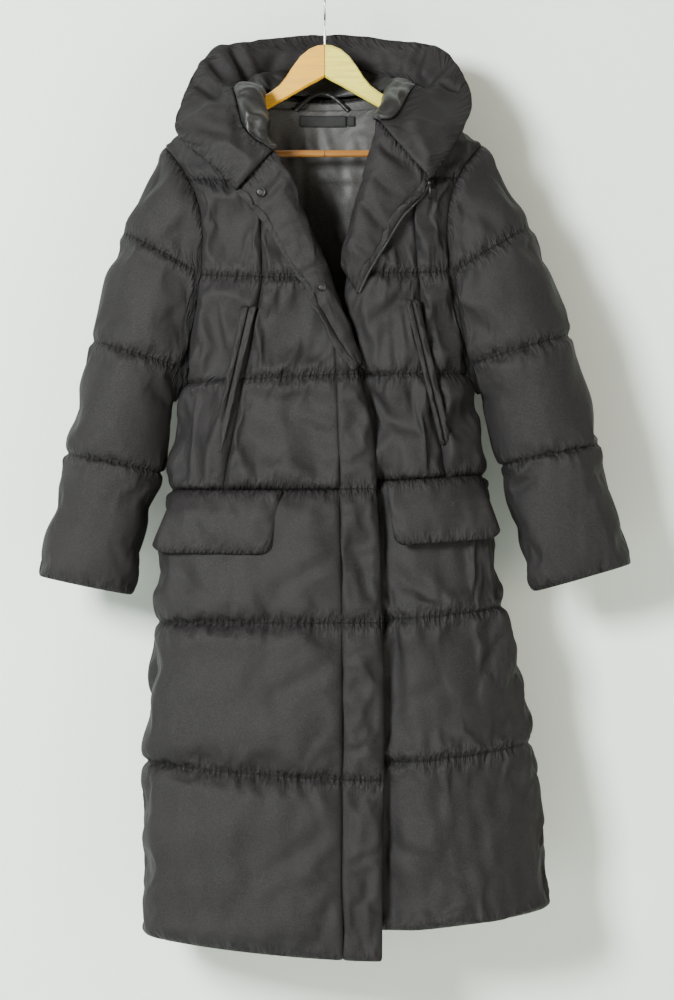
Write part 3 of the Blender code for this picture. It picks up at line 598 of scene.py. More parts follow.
def press(points: Array, normals: Array, creases: Iterable[Crease], front: bool = True) -> None:
    """Presses creases into a grid of points.

    Args:
        points: The grid, which is changed in place.
        normals: Directions out of the grid.
        creases: The folds to press in; a negative depth raises a ridge.
        front: Whether only points whose surface faces the front are moved.
    """
    places = points[..., [0, 2]]
    for crease in creases:
        start, end = np.array(crease.start, float), np.array(crease.end, float)
        along = end - start
        length = np.linalg.norm(along)
        share = ((places - start) @ along) / length**2
        nearest = start + np.clip(share, 0, 1)[..., None] * along
        apart = np.linalg.norm(places - nearest, axis=-1)
        taper = np.sqrt(np.clip(np.sin(math.pi * np.clip(share, 0.02, 0.98)), 0, 1))
        pushed = crease.depth * np.exp(-((apart / crease.width) ** 2)) * taper
        pushed -= crease.depth * 0.45 * np.exp(-(((apart - 1.9 * crease.width) / crease.width) ** 2)) * taper
        if front:
            pushed = pushed * np.clip(-normals[..., 1] * 2, 0, 1)
        points -= normals * pushed[..., None]


@dataclass(frozen=True)
class Stuffing:
    """How a piece is filled and gathered before and while its cloth is blown up."""

    outward: float = 8.0
    inward: float = 5.0
    pressure: float = 3.0
    growth: float = 0.06  # how much longer the cloth is than the surface that it is sewn to
    gathered: float = 0.24  # the same right beside the stitching
    cap: float = 9.0  # the furthest that a point may move
    bending: float = 0.12
    folds: float = 2.3  # height of the gathers beside the stitching


@dataclass
class Quilt:
    """One piece of quilted or plain cloth: a closed wall whose outer side is simulated."""

    name: str
    nodes: tuple[str, ...]
    points: Array
    normals: Array
    share: Array
    stitched: tuple[int, ...]
    stuffing: Stuffing
    closed: bool = False
    sides: bool = True
    seed: int = 1
    padded: bool = True
    fill: float = 0.6
    half: float = STITCHED
    outer: Array = field(init=False)
    inner: Array = field(init=False)
    seam: Array = field(init=False)
    sheet: bpy.types.Object | None = field(init=False, default=None)

    def __post_init__(self) -> None:
        """Works out the two sides of the wall and the distances to its stitching."""
        uneven = (1 + 0.22 * waves(self.points, 70, self.seed)
                  + 0.12 * waves(self.points, 24, self.seed + 7, (1, 1, 2.5)))
        drift = waves(self.points, 120, self.seed + 3, (1.6, 1, 1)) * 1.6 * self.share
        middle = self.points + self.normals * drift[..., None]
        outward = self.half + self.stuffing.outward * self.share * uneven
        inward = self.half + self.stuffing.inward * self.share
        outward = outward + self._gathers()
        self.outer = middle + self.normals * outward[..., None]
        self.inner = middle - self.normals * inward[..., None]
        self.seam = self._seams()

    def _gathers(self) -> Array:
        """Height of the small folds that fan out from each line of stitching."""
        down, over = lengths_along(self.points, 0), lengths_along(self.points, 1)
        total = np.zeros(down.shape)
        if not self.padded or self.stuffing.folds == 0:
            return total
        for number, row in enumerate(self.stitched):
            apart = down - down[row]
            for side in (-1, 1):
                place = np.stack([over, np.abs(apart) * 0.35, np.full(over.shape, 40.0 * number + 9 * side)],
                                 axis=-1)
                folds = (waves(place, 13, self.seed + 60 + number)
                         + 0.5 * waves(place, 25, self.seed + 80 + number))
                reach = 20 + 10 * waves(place, 50, self.seed + 90 + number)
                distance = np.clip(apart * side, 0, None)
                total += folds * np.exp(-distance / np.clip(reach, 8, 42)) * np.clip(distance / 7, 0, 1)
        edge = np.ones(over.shape) if self.closed else pillow(np.minimum(over, over[:, -1:] - over), 26)
        return total * self.stuffing.folds * edge

    def _seams(self) -> Array:
        """Distance along and distance from the nearest stitching, in metres."""
        down, over = lengths_along(self.points, 0), lengths_along(self.points, 1)
        apart = np.full(down.shape, 1e3)
        for row in self.stitched:
            apart = np.minimum(apart, np.abs(down - down[row]))
        return np.stack([over, apart], axis=-1) * MM

    def held(self) -> Array:
        """Which points are pinned, as weights."""
        pins = np.zeros(self.points.shape[:2])
        for row in (*self.stitched, 0, -1):
            pins[row] = 1
        if not self.closed:
            pins[:, [0, -1]] = 1
        return pins

    def stretch_out(self) -> None:
        """Makes the outer side's sheet, with its cloth settings."""
        self.sheet = build_grid(self.name + "_sheet", self.outer, None, self.seam, self.closed)
        places = place_of(self.sheet)
        pins = self.held().reshape(-1)[places]
        down = lengths_along(self.points, 0)
        apart = np.min([np.abs(down - down[row]) for row in self.stitched], axis=0)
        near = np.clip(1 - apart / 14, 0, 1).reshape(-1)[places]
        uneven = waves(self.points, 45, self.seed + 11).reshape(-1)[places]
        gathers = np.clip(near + 0.35 * uneven, 0, 1)
        held, grown = self.sheet.vertex_groups.new(name="held"), self.sheet.vertex_groups.new(name="gathers")
        for index in range(len(places)):
            if pins[index]:
                held.add([index], 1.0, "REPLACE")
            grown.add([index], float(gathers[index]), "REPLACE")
        cloth = self.sheet.modifiers.new("cloth", "CLOTH")
        settings = cloth.settings
        settings.quality = 4
        settings.mass = 0.3
        settings.tension_stiffness = settings.compression_stiffness = 12
        settings.shear_stiffness = 4
        settings.bending_stiffness = self.stuffing.bending
        settings.tension_damping = settings.compression_damping = 6
        settings.air_damping = 2
        settings.vertex_group_mass = "held"
        settings.use_pressure = True
        settings.uniform_pressure_force = self.stuffing.pressure
        settings.shrink_min = -self.stuffing.growth
        settings.shrink_max = -self.stuffing.gathered
        settings.vertex_group_shrink = "gathers"
        settings.effector_weights.gravity = 0
        cloth.collision_settings.use_collision = False
        cloth.collision_settings.use_self_collision = False
        cloth.point_cache.frame_start = 1
        cloth.point_cache.frame_end = FRAMES

    def take_back(self, depsgraph: bpy.types.Depsgraph) -> None:
        """Reads the blown-up sheet into the outer side, capping how far each point moved."""
        evaluated = self.sheet.evaluated_get(depsgraph).to_mesh()
        found = np.empty(len(evaluated.vertices) * 3)
        evaluated.vertices.foreach_get("co", found)
        rows, columns = self.outer.shape[:2]
        grid = self.outer.reshape(-1, 3).copy()
        grid[place_of(self.sheet)] = found.reshape(-1, 3) / MM
        moved = grid.reshape(rows, columns, 3) - self.outer
        rise = np.sum(moved * self.normals, axis=-1, keepdims=True)
        floor = -0.75 * (self.stuffing.outward * self.share + self.half)[..., None]
        moved += self.normals * (np.clip(rise, floor, self.stuffing.cap) - rise)
        size = np.linalg.norm(moved, axis=-1, keepdims=True)
        moved *= np.minimum(1, self.stuffing.cap / np.maximum(size, 1e-6))
        self.outer = self.outer + moved
        bpy.data.objects.remove(self.sheet)

    def sew(self, outside: bpy.types.Material, inside: bpy.types.Material | None = None) -> bpy.types.Object:
        """Makes the finished wall.

        Args:
            outside: The outer cloth's material.
            inside: The inner side's material, if it differs.

        Returns:
            The wall, which stands for its CAD nodes.
        """
        obj = build_grid(self.name, self.outer, self.inner, self.seam, self.closed)
        obj.data.materials.append(outside)
        obj.data.materials.append(inside or outside)
        soften(obj)
        return obj


def build_grid(name: str, outer: Array, inner: Array | None, seam: Array, closed: bool) -> bpy.types.Object:
    """Makes a sheet of cloth, or a closed wall where there is an inner side.

    Args:
        name: The object's name.
        outer: The outer side's points, in millimetres.
        inner: The inner side's points, or None for an open sheet.
        seam: Distance along and from the stitching at each point, in metres.
        closed: Whether the columns close into a tube.

    Returns:
        The object, with the UV maps "cloth" and "seam" in metres.
    """
    rows, columns = outer.shape[:2]
    wide = columns + (1 if closed else 0)
    wrap = np.arange(wide) % columns
    total = rows * wide
    bm = bmesh.new()
    cloth_map, seam_map = bm.loops.layers.uv.new("cloth"), bm.loops.layers.uv.new("seam")
    bmesh.ops.create_grid(bm, x_segments=wide - 1, y_segments=rows - 1, size=1.0)
    place = bm.verts.layers.int.new("place")
    for vertex in bm.verts:
        column = round((vertex.co.x + 1) / 2 * (wide - 1))
        row = round((vertex.co.y + 1) / 2 * (rows - 1))
        vertex[place] = row * wide + column
    if inner is not None:
        made = bmesh.ops.extrude_face_region(bm, geom=bm.faces[:])
        for vertex in made["geom"]:
            if isinstance(vertex, bmesh.types.BMVert):
                vertex[place] += total
    sides = [outer] if inner is None else [outer, inner]
    where = np.concatenate([side[:, wrap].reshape(-1, 3) for side in sides]) * MM
    over = lengths_along(outer, 1) * MM
    if closed:
        last = np.linalg.norm(outer[:, 0] - outer[:, -1], axis=1)[:, None] * MM
        over = np.concatenate([over, over[:, -1:] + last], axis=1)
        end = np.stack([over[:, -1], seam[:, -1, 1]], axis=-1)[:, None]
        seam = np.concatenate([seam, end], axis=1)
    flat = np.stack([over, lengths_along(outer, 0)[:, wrap] * MM], axis=-1).reshape(-1, 2)
    stitched = seam.reshape(-1, 2)
    for vertex in bm.verts:
        vertex.co = where[vertex[place]]
    for face in bm.faces:
        inside = inner is not None and all(vertex[place] >= total for vertex in face.verts)
        face.material_index = 1 if inside else 0
        face.smooth = True
        for loop in face.loops:
            index = loop.vert[place] % total
            loop[cloth_map].uv = flat[index]
            loop[seam_map].uv = stitched[index]
    if closed:
        bmesh.ops.remove_doubles(bm, verts=bm.verts[:], dist=0.00001)
    bmesh.ops.recalc_face_normals(bm, faces=bm.faces[:])
    mesh = bpy.data.meshes.new(name)
    bm.to_mesh(mesh)
    bm.free()
    obj = bpy.data.objects.new(name, mesh)
    obj["columns"] = columns
    obj["wide"] = wide
    bpy.context.scene.collection.objects.link(obj)
    return obj


def place_of(sheet: bpy.types.Object) -> Array:
    """Finds where each vertex of a sheet sits in its grid.

    Args:
        sheet: A sheet made by build_grid.

    Returns:
        Each vertex's index into the flattened grid of points.
    """
    places = np.empty(len(sheet.data.vertices), dtype=np.int32)
    sheet.data.attributes["place"].data.foreach_get("value", places)
    rows, over = np.divmod(places, sheet["wide"])
    return rows * sheet["columns"] + over % sheet["columns"]


def soften(obj: bpy.types.Object, levels: int = 1) -> None:
    """Rounds a mesh with one subdivision.

    Args:
        obj: The mesh object.
        levels: Levels of subdivision, the same on screen and in the render.
    """
    rounding = obj.modifiers.new("rounding", "SUBSURF")
    rounding.levels = rounding.render_levels = levels
    rounding.boundary_smooth = "PRESERVE_CORNERS"


def blow_up(quilts: list[Quilt]) -> None:
    """Simulates the outer cloth of all the pieces together.

    Args:
        quilts: The pieces, whose outer sides are changed in place.
    """
    scene = bpy.context.scene
    for quilt in quilts:
        quilt.stretch_out()
    for frame in range(1, FRAMES + 1):
        scene.frame_set(frame)
        LOG.info("frame %d", frame)
    depsgraph = bpy.context.evaluated_depsgraph_get()
    for quilt in quilts:
        quilt.take_back(depsgraph)
    scene.frame_set(1)


def padding_share(points: Array, stitched: Iterable[int], reach: float,
                  sides: tuple[float, float] = (0.0, 0.0)) -> Array:
    """Finds the padding's share over a piece.

    Args:
        points: The piece's middle points.
        stitched: Rows that are stitched down.
        reach: Distance from the stitching at which the padding is full.
        sides: The share that is left at the first and the last column, 0 where they are stitched down.

    Returns:
        A share from 0 to 1 for each point.
    """
    down = lengths_along(points, 0)
    share = np.ones(points.shape[:2])
    for row in stitched:
        share = np.minimum(share, pillow(np.abs(down - down[row]), reach))
    over = lengths_along(points, 1)
    for distance, left_over in ((over, sides[0]), (over[:, -1:] - over, sides[1])):
        share *= left_over + (1 - left_over) * pillow(distance, reach * 0.55)
    return share


def drawn_in(points: Array, rows: bool = True, columns: bool = True, amount: float = -OVERLAP) -> Array:
    """Draws the edges of a piece in, so that it stops short of its neighbours.

    Args:
        points: The piece's middle points.
        rows: Whether to draw in the first and last rows.
        columns: Whether to draw in the first and last columns.
        amount: How far.

    Returns:
        The points with their edges moved.
    """
    drawn = points.copy()
    for axis, wanted in ((0, rows), (1, columns)):
        if wanted:
            grid, source = np.moveaxis(drawn, axis, 0), np.moveaxis(points, axis, 0)
            for edge, inner in ((0, 1), (-1, -2)):
                grid[edge] += unit(source[inner] - source[edge]) * amount
    return drawn


class BodyPanels:
    """The back and the six quilted panels of the fronts."""

    CREASES = {
        "front_centre_right": (Crease((-10, -500), (-70, -560), 4, 8), Crease((8, -620), (-50, -600), 3, 7)),
        "front_skirt_right": (Crease((10, -790), (-60, -830), 4, 9), Crease((15, -930), (-70, -985), 4, 10),
                              Crease((-200, -800), (-150, -850), 3, 9),
                              Crease((10, -1160), (-90, -1230), 4, 11)),
        "front_skirt_left": (Crease((95, -800), (150, -850), 4, 9), Crease((90, -1000), (170, -960), 3, 10),
                             Crease((95, -1180), (200, -1240), 4, 11),
                             Crease((240, -900), (190, -1010), 3, 10)),
        "front_centre_left": (Crease((75, -560), (120, -620), 3, 8), Crease((60, -470), (110, -430), 3, 8)),
    }

    def panel(self, name: str, face: Face, lines: tuple[int, int], start: Callable[[float], float],
              end: Callable[[float], float], columns: int, seed: int,
              sides: tuple[float, float] = (0.0, 0.0)) -> Quilt:
        """Works out one panel between two edges, given as angles for each row.

        Args:
            name: The piece's name.
            face: The side of the body.
            lines: First and last quilt line.
            start: Angle of one edge at each row.
            end: Angle of the other edge.
            columns: Points across.
            seed: Start of its random draws.
            sides: The padding's share that is left at the first and the last column.

        Returns:
            The padded panel.
        """
        first, last = lines
        rows = BodyShape.rows(first, last)
        points = np.empty((len(rows), columns, 3))
        normals = np.empty_like(points)
        for i, v in enumerate(rows):
            for j, angle in enumerate(np.linspace(start(v), end(v), columns)):
                points[i, j] = BodyShape.point(face, angle, v)
                normals[i, j] = BodyShape.normal(face, angle, v)
        points = drawn_in(points)
        points[..., 1] += GAP / 4 if face is Face.BACK else -GAP / 4
        stitched = tuple(i for i, v in enumerate(rows) if v == int(v))
        share = padding_share(points, stitched, 31.0, sides)
        thin = np.clip((points[..., 2] - YOKE_FOOT) / 12, 0, 1)
        share = share * (1 - 0.4 * thin)
        press(points, normals, self.CREASES.get(name, ()))
        return Quilt(name, (name,), points, normals, share, stitched, Stuffing(11.5, 5.0), seed=seed)

    def pieces(self) -> list[Quilt]:
        """All seven panels."""
        shape = BodyShape
        made = [self.panel("back", Face.BACK, (0, HEM), lambda v: shape.side_angle(Face.BACK, -1, v),
                           lambda v: shape.side_angle(Face.BACK, 1, v), 76, 5)]
        for face, side, princess, opening in ((Face.RIGHT, -1, PRINCESS_RIGHT, OPENING_RIGHT),
                                              (Face.LEFT, 1, PRINCESS_LEFT, OPENING_LEFT)):
            edges = {
                "outer": lambda v, f=face, s=side: shape.side_angle(f, s, v),
                "princess": lambda v, f=face, e=princess: shape.edge_angle(f, e, v),
                "opening": lambda v, f=face, e=opening: shape.edge_angle(f, e, v),
            }
            for number, (piece, lines, outer, inner, columns) in enumerate((
                ("side", (0, WAIST), "outer", "princess", 21 if side > 0 else 26),
                ("centre", (0, WAIST), "princess", "opening", 28),
                ("skirt", (WAIST, HEM), "outer", "opening", 62),
            )):
                ends = (edges[outer], edges[inner]) if face is Face.RIGHT else (edges[inner], edges[outer])
                soft = (0.0, SOFT_SEAM) if face is Face.RIGHT and piece != "side" else (0.0, 0.0)
                made.append(self.panel(f"front_{piece}_{face.value}", face, lines, *ends, columns,
                                       20 + 10 * number + side, soft))
        return made


@dataclass
class Sleeve:
    """A sleeve, lofted from its armhole through its rings to an open cuff."""

    name: str
    side: int
    rings: tuple[SleeveRing, ...]
    stitches: tuple[StitchLine, ...]
    creases: tuple[Crease, ...] = ()
    CLOSEST = 20.0  # where a line of stitching runs into the armhole, it stays this far down the sleeve

    def _armhole(self) -> tuple[Array, Array]:
        """Points and outward directions round the armhole: down its front, up its back."""
        coarse = [line + share for line in range(UNDERARM)
                  for share in (PILLOW_FRACTIONS if line else YOKE_FRACTIONS)]
        coarse.append(float(UNDERARM))
        fine = np.interp(np.arange((len(coarse) - 1) * SLEEVE_STEPS + 1) / SLEEVE_STEPS,
                         np.arange(len(coarse)), coarse)
        halves = []
        for face in (Face.LEFT if self.side > 0 else Face.RIGHT, Face.BACK):
            places = [(BodyShape.side_angle(face, self.side, v), v) for v in fine]
            halves.append([np.array([found(face, angle, v) for angle, v in places])
                           for found in (BodyShape.point, BodyShape.normal)])
        front, back = halves
        return tuple(np.concatenate([front[i], back[i][-2:0:-1]]) for i in (0, 1))

    @staticmethod
    def _ring(ring: SleeveRing, turns: Array) -> Array:
        """Points round one ring, from its outer point and down its front."""
        outer, inner = np.array((ring.outer_x, 0, ring.outer_z)), np.array((ring.inner_x, 0, ring.inner_z))
        middle, arm = (outer + inner) / 2, (outer - inner) / 2
        return (middle + arm * np.cos(turns)[:, None]
                - np.array((0, ring.half_depth, 0)) * np.sin(turns)[:, None])

    @staticmethod
    def _from_stitch(points: Array, stitch: StitchLine) -> Array:
        """Signed distance of points from a line of stitching, seen from the front."""
        start = np.array((stitch.outer_x, stitch.outer_z))
        along = np.array((stitch.inner_x, stitch.inner_z)) - start
        offset = points[..., [0, 2]] - start
        return (along[0] * offset[..., 1] - along[1] * offset[..., 0]) / np.linalg.norm(along)

    def piece(self, seed: int) -> Quilt:
        """Works out the sleeve, with its rows laid along its stitching."""
        loop, loop_normals = self._armhole()
        turns = np.arange(len(loop)) / len(loop) * 2 * math.pi
        first, forearm, cuff = (self._ring(ring, turns) for ring in self.rings)
        outward = np.array((self.side * 0.94, 0, 0.34)) * SLEEVE_CAP_BULGE
        control = (loop + first) / 2 + outward * (np.cos(turns / 2) ** 2)[:, None]
        loft = np.concatenate([np.linspace(0, 0.15, 5)[:-1], np.linspace(0.15, 1, 22)])
        rows = [(1 - t) ** 2 * loop + 2 * t * (1 - t) * control + t * t * first for t in loft]
        rows += [mix(first, forearm, t) for t in np.linspace(0, 1, 15)[1:]]
        rows += [mix(forearm, cuff, t) for t in np.linspace(0, 1, 18)[1:]]
        points = np.array(rows)
        normals = grid_normals(points, closed=True) * -self.side
        folded = np.clip(1 - np.sum(normals[0] * loop_normals, axis=1, keepdims=True), 0.0, 2.0)
        around = np.roll(loop, -1, axis=0) - np.roll(loop, 1, axis=0)
        away = unit(np.cross(around, loop_normals) * -self.side)
        same_way = np.clip(1 - folded * 1.5, 0.0, 1.0)
        for i, t in enumerate(loft):
            sideways, out = np.interp(t, (0, 0.15), (0.5, 0)), np.interp(t, (0, 0.15, 0.34), (0.5, 0.5, 0))
            points[i] += (away * sideways + loop_normals * out) * UNDERARM_GAP * folded
            normals[i] = unit(mix(normals[i], loop_normals,
                                  np.interp(t, (0, 0.15, 0.34), (1, 0.5, 0)) * same_way))
        points, normals, stitched = self._along_stitches(points, normals)
        points = drawn_in(points, columns=False, amount=-1.6)
        down = lengths_along(points, 0)
        share = np.ones(points.shape[:2])
        for row in stitched:
            share = np.minimum(share, pillow(np.abs(down - down[row]), 33.0))
        share = np.minimum(share, pillow(np.minimum(down, (down[-1:] - down) + 6), 40.0))
        press(points, normals, self.creases)
        return Quilt(self.name, (self.name,), points, normals, share, (0, *stitched, len(points) - 1),
                     Stuffing(6.5, 4.0), closed=True, seed=seed)

    def _along_stitches(self, points: Array, normals: Array) -> tuple[Array, Array, tuple[int, ...]]:
        """Slides the rows down their columns until some lie on the stitching."""
        down = lengths_along(points, 0)
        columns = points.shape[1]
        stops = np.zeros((len(self.stitches) + 2, columns))
        stops[-1] = down[-1]
        for number, stitch in enumerate(self.stitches):
            apart = self._from_stitch(points, stitch)
            for j in range(columns):
                sign = np.sign(apart[:, j])
                changes = np.nonzero(sign[:-1] != sign[1:])[0]
                if len(changes):
                    change = changes[-1]
                    part = apart[change, j] / (apart[change, j] - apart[change + 1, j])
                    stops[number + 1, j] = mix(down[change, j], down[change + 1, j], part)
            stops[number + 1] = np.maximum(stops[number + 1], stops[number] + self.CLOSEST)
        counts = [max(round(float(np.mean(np.diff(stops, axis=0)[k])) / 8.0), 3)
                  for k in range(len(stops) - 1)]
        wanted = []
        for k, count in enumerate(counts):
            wanted += [mix(stops[k], stops[k + 1], t) for t in np.arange(count) / count]
        wanted.append(stops[-1])
        wanted = np.array(wanted)
        moved, turned = np.empty((len(wanted), columns, 3)), np.empty((len(wanted), columns, 3))
        for j in range(columns):
            for axis in range(3):
                moved[:, j, axis] = np.interp(wanted[:, j], down[:, j], points[:, j, axis])
                turned[:, j, axis] = np.interp(wanted[:, j], down[:, j], normals[:, j, axis])
        stitched = tuple(int(row) for row in np.cumsum(counts)[:-1])
        return moved, unit(turned), stitched


class Hood:
    """The hood that hangs down the back: its lining, the facing round its opening and its outer shell."""

    BANDS = (
        ("hood_lining", 0, 2, (0.0, 0.0, 0.0), 5),
        ("hood_facing", 2, 5, (0.0, 1.0, 0.6, 0.0), 5),
        ("hood_shell", 5, 11, (0.0, 0.4, 1.0, 0.6, 0.1, 0.0, 0.0), 5),
    )
    STATION_STEPS = 8
    CREASES = (
        Crease((-134, -70), (-105, -130), 9, 7), Crease((-167, -84), (-138, -128), 8, 7),
        Crease((-184, -126), (-136, -163), 8, 7), Crease((-128, -160), (-114, -208), 6, 6),
        Crease((141, -70), (125, -119), 9, 7), Crease((125, -115), (145, -141), 8, 6),
        Crease((178, -94), (138, -139), 8, 7), Crease((165, -137), (190, -139), 6, 5),
        Crease((60, -70), (90, -100), 3, 8), Crease((-60, -72), (-84, -102), 3, 8),
        Crease((196, -200), (150, -222), 4, 8), Crease((-176, -190), (-130, -215), 3, 7),
    )

    @staticmethod
    def _neck_point(station: HoodStation) -> Array:
        """A point of the neck seam, on the body's middle surface."""
        right, left, depth = BodyShape.section_at(0.5)
        y = BodyShape.swell(station.neck_x, station.neck_z, right, left, depth)
        return np.array((station.neck_x, -y if station.forward > 0.5 else y, station.neck_z))

    @staticmethod
    def _clear_of_body(point: Array, clearance: float, forward: float) -> Array:
        """Moves a point of the hood off the shoulders.

        Args:
            point: The point to move.
            clearance: Room to leave.
            forward: How far the place is towards the front.

        Returns:
            The moved point.
        """
        right, left, depth = BodyShape.section_at(0.5)
        moved = np.array(point, dtype=float)
        side = -1.0 if forward > 0.2 else 1.0
        for _ in range(80):
            x, y, z = moved
            ridge = BodyShape.shoulder_height(x)
            if (y * side >= BodyShape.swell(x, z - clearance, right, left, depth) + clearance
                    or z > ridge + clearance):
                break
            steep = min(max(ridge - z, 0.0) / 60, 1.0)
            moved += (0, side * max(steep, 0.4), 1 - steep)
        return moved

    def _rails(self) -> Array:
        """Lines round the hood, from inside its neck seam over its edge to outside its neck seam."""
        stations = []
        for station in HOOD:
            neck, full, forward = self._neck_point(station), station.fullness, station.forward
            seam = np.array((station.seam_x, station.seam_y, station.seam_z))
            edge = np.array((station.edge_x, station.edge_y, station.edge_z))
            inward = unit(seam - edge)
            to_middle = -math.copysign(1.0, station.neck_x) if station.neck_x else 0.0
            hole = np.array((-neck[0], -neck[1], 0)) / max(np.linalg.norm(neck[:2]), 1)
            inside = (neck + forward * np.array((4.5 * to_middle, -5, 5))
                      + (1 - forward) * (hole * 3.5 + (0, 0, 8)))
            away = hole * (-2 - 8 * (1 - full)) + (0, 0, 6)
            outside = neck + forward * np.array((-4 * to_middle, -12.5, 5)) + (1 - forward) * away
            lining = (mix(inside, seam, 0.5)
                      + (7 * forward * to_middle, 14 * full - 4 * forward, 14 * (1 - forward)))
            front = edge + inward * 9 + (0, -5, 0)
            back = edge + inward * 9 + (0, 9 - 3 * full, 0)
            band = mix(seam, front, 0.5) + (0, -3, 0)
            top = mix(edge, outside, 0.3) + np.array((0, 10 + 50 * full, 3 + 12 * full))
            low = mix(edge, outside, 0.6) + np.array((0, 9 + 78 * full, 3 - 52 * full))
            under = mix(edge, outside, 0.85) + np.array((0, 6 + 62 * full, 2 - 96 * full))
            lip = mix(under, outside, 0.6)
            rails = [(inside, 0), (lining, 18), (seam, 24), (band, 26), (front, 26), (edge, 22), (back, 17),
                     (top, 15), (low, 13), (under, 11.5), (lip, 10.5), (outside, 0)]
            stations.append([self._clear_of_body(point, clearance, forward) if clearance else point
                             for point, clearance in rails])
        return refined(np.array(stations), self.STATION_STEPS).transpose(1, 0, 2)

    def pieces(self) -> list[Quilt]:
        """The three bands, cut from one rolled surface."""
        rails = self._rails()
        steps = self.BANDS[0][4]
        fine = refined(rails, steps)
        normals = -grid_normals(fine)
        made = []
        for number, (name, first, last, fill, _) in enumerate(self.BANDS):
            rows = slice(first * steps, last * steps + 1)
            points = drawn_in(drawn_in(fine[rows], columns=False, amount=0.2), rows=False, amount=-1.8)
            out = normals[rows].copy()
            share = np.interp(np.arange(len(points)) / steps, np.arange(len(fill)), fill)
            share = np.repeat(share[:, None], points.shape[1], axis=1)
            over = lengths_along(points, 1)
            share = share * (0.35 + 0.65 * pillow(np.minimum(over, over[:, -1:] - over), 25.0))
            press(points, out, self.CREASES)
            if name == "hood_lining":
                folds = waves(points, 26, 3, (1, 1, 2.2)) * 2.2
                ease = pillow(lengths_along(points, 0), 20) * pillow(lengths_along(points[::-1], 0)[::-1], 20)
                points += out * (folds * ease * pillow(np.minimum(over, over[:, -1:] - over), 20))[..., None]
            stuffing = {
                "hood_lining": Stuffing(2.0, 0.3, 0.6, 0.14, 0.26, 6.0, 0.05, 0.0),
                "hood_facing": Stuffing(6.5, 0.5, 2.5, 0.05, 0.10, 8.0, 0.25, 0.5),
                "hood_shell": Stuffing(6.5, 0.5, 2.5, 0.06, 0.12, 8.0, 0.2, 0.8),
            }[name]
            if name == "hood_lining":
                share[:] = np.minimum(pillow(over, 20), pillow(over[:, -1:] - over, 20))
                share[[0, -1]] = 0
            made.append(Quilt(name, (name,), points, out, share, (0, len(points) - 1), stuffing,
                              seed=40 + number, padded=name != "hood_lining"))
        return made


class TurnedFronts:
    """The inner sides of the two fronts, turned out from the neck to the overlap."""

    SECTIONS = ((-1.0, 0.0, 0.0), (-3.0, 0.0, 7.0), (-1.0, 0.02, 14.0), (3.0, 0.1, 19.0), (2.0, 0.35, 21.0),
                (0.0, 0.7, 20.0), (-4.0, 1.0, 18.5))
    CREASES = {
        "facing_right": (Crease((-62, -270), (-84, -300), 3, 6), Crease((-36, -330), (-62, -345), 3, 6),
                         Crease((-10, -390), (-34, -402), 3, 6), Crease((2, -420), (-20, -440), 3.5, 7),
                         Crease((46, -480), (22, -505), 2.5, 6)),
        "facing_left": (Crease((72, -215), (120, -262), 3.5, 7), Crease((64, -262), (96, -290), 3, 7),
                        Crease((54, -300), (80, -340), 3, 7), Crease((40, -350), (62, -372), 3, 6)),
    }

    @staticmethod
    def surface(rows: Iterable[LapelRow], sections: Array, face: Face, steps: int) -> Array:
        """Middle points across a turned-out front: distance from its roll, share of its width, height.

        Args:
            rows: Where each row rolls over and ends.
            sections: The shape across each row.
            face: The front it turns out from.
            steps: Rows made of each one.

        Returns:
            The points.
        """
        right, left, depth = BodyShape.section_at(1.5)
        points = []
        for row in refined(np.array(rows, dtype=float), steps):
            roll, outer = row[:2], row[2:]
            width = np.linalg.norm(outer - roll)
            along = (outer - roll) / width
            line = []
            for distance, share, height in sections:
                x, z = roll + along * (distance + share * width)
                y = -BodyShape.swell(x, z, right, left, depth) - height
                line.append((x, y + (BodyShape.tuck(x, z) if face is Face.LEFT else 0.0), z))
            points.append(line)
        return np.array(points)

    def pieces(self) -> list[Quilt]:
        """The two turned-out fronts."""
        sections = refined(np.array(self.SECTIONS), 4)
        made = []
        for name, face, rows, side in (("facing_right", Face.RIGHT, LAPEL_RIGHT, 1),
                                       ("facing_left", Face.LEFT, LAPEL_LEFT, -1)):
            points = drawn_in(self.surface(rows, sections, face, 7), columns=False, amount=-4.5)
            normals = grid_normals(points) * -side
            share = padding_share(points, (0, len(points) - 1), 22.0)
            press(points, normals, self.CREASES[name])
            made.append(Quilt(name, (name,), points, normals, share, (0, len(points) - 1),
                              Stuffing(1.6, 0.3, 0.4, 0.03, 0.05, 2.2, 0.2, 0.25), seed=50 + side))
            edge = np.array(((-9.5, 1.0, 21.2), (-6.0, 1.0, 22.4), (-2.5, 1.0, 22.2), (0.5, 1.0, 20.4)))
            strip = drawn_in(self.surface(rows, refined(edge, 2), face, 12), columns=False, amount=-4.5)
            made.append(Quilt(name + "_strip", (), strip, grid_normals(strip) * -side,
                              padding_share(strip, (0, len(strip) - 1), 5.0), (0, len(strip) - 1),
                              Stuffing(1.6, 0.2, 0.8, 0.12, 0.2, 3.0, 0.06, 0.0), seed=55 + side, half=0.8))
        return made


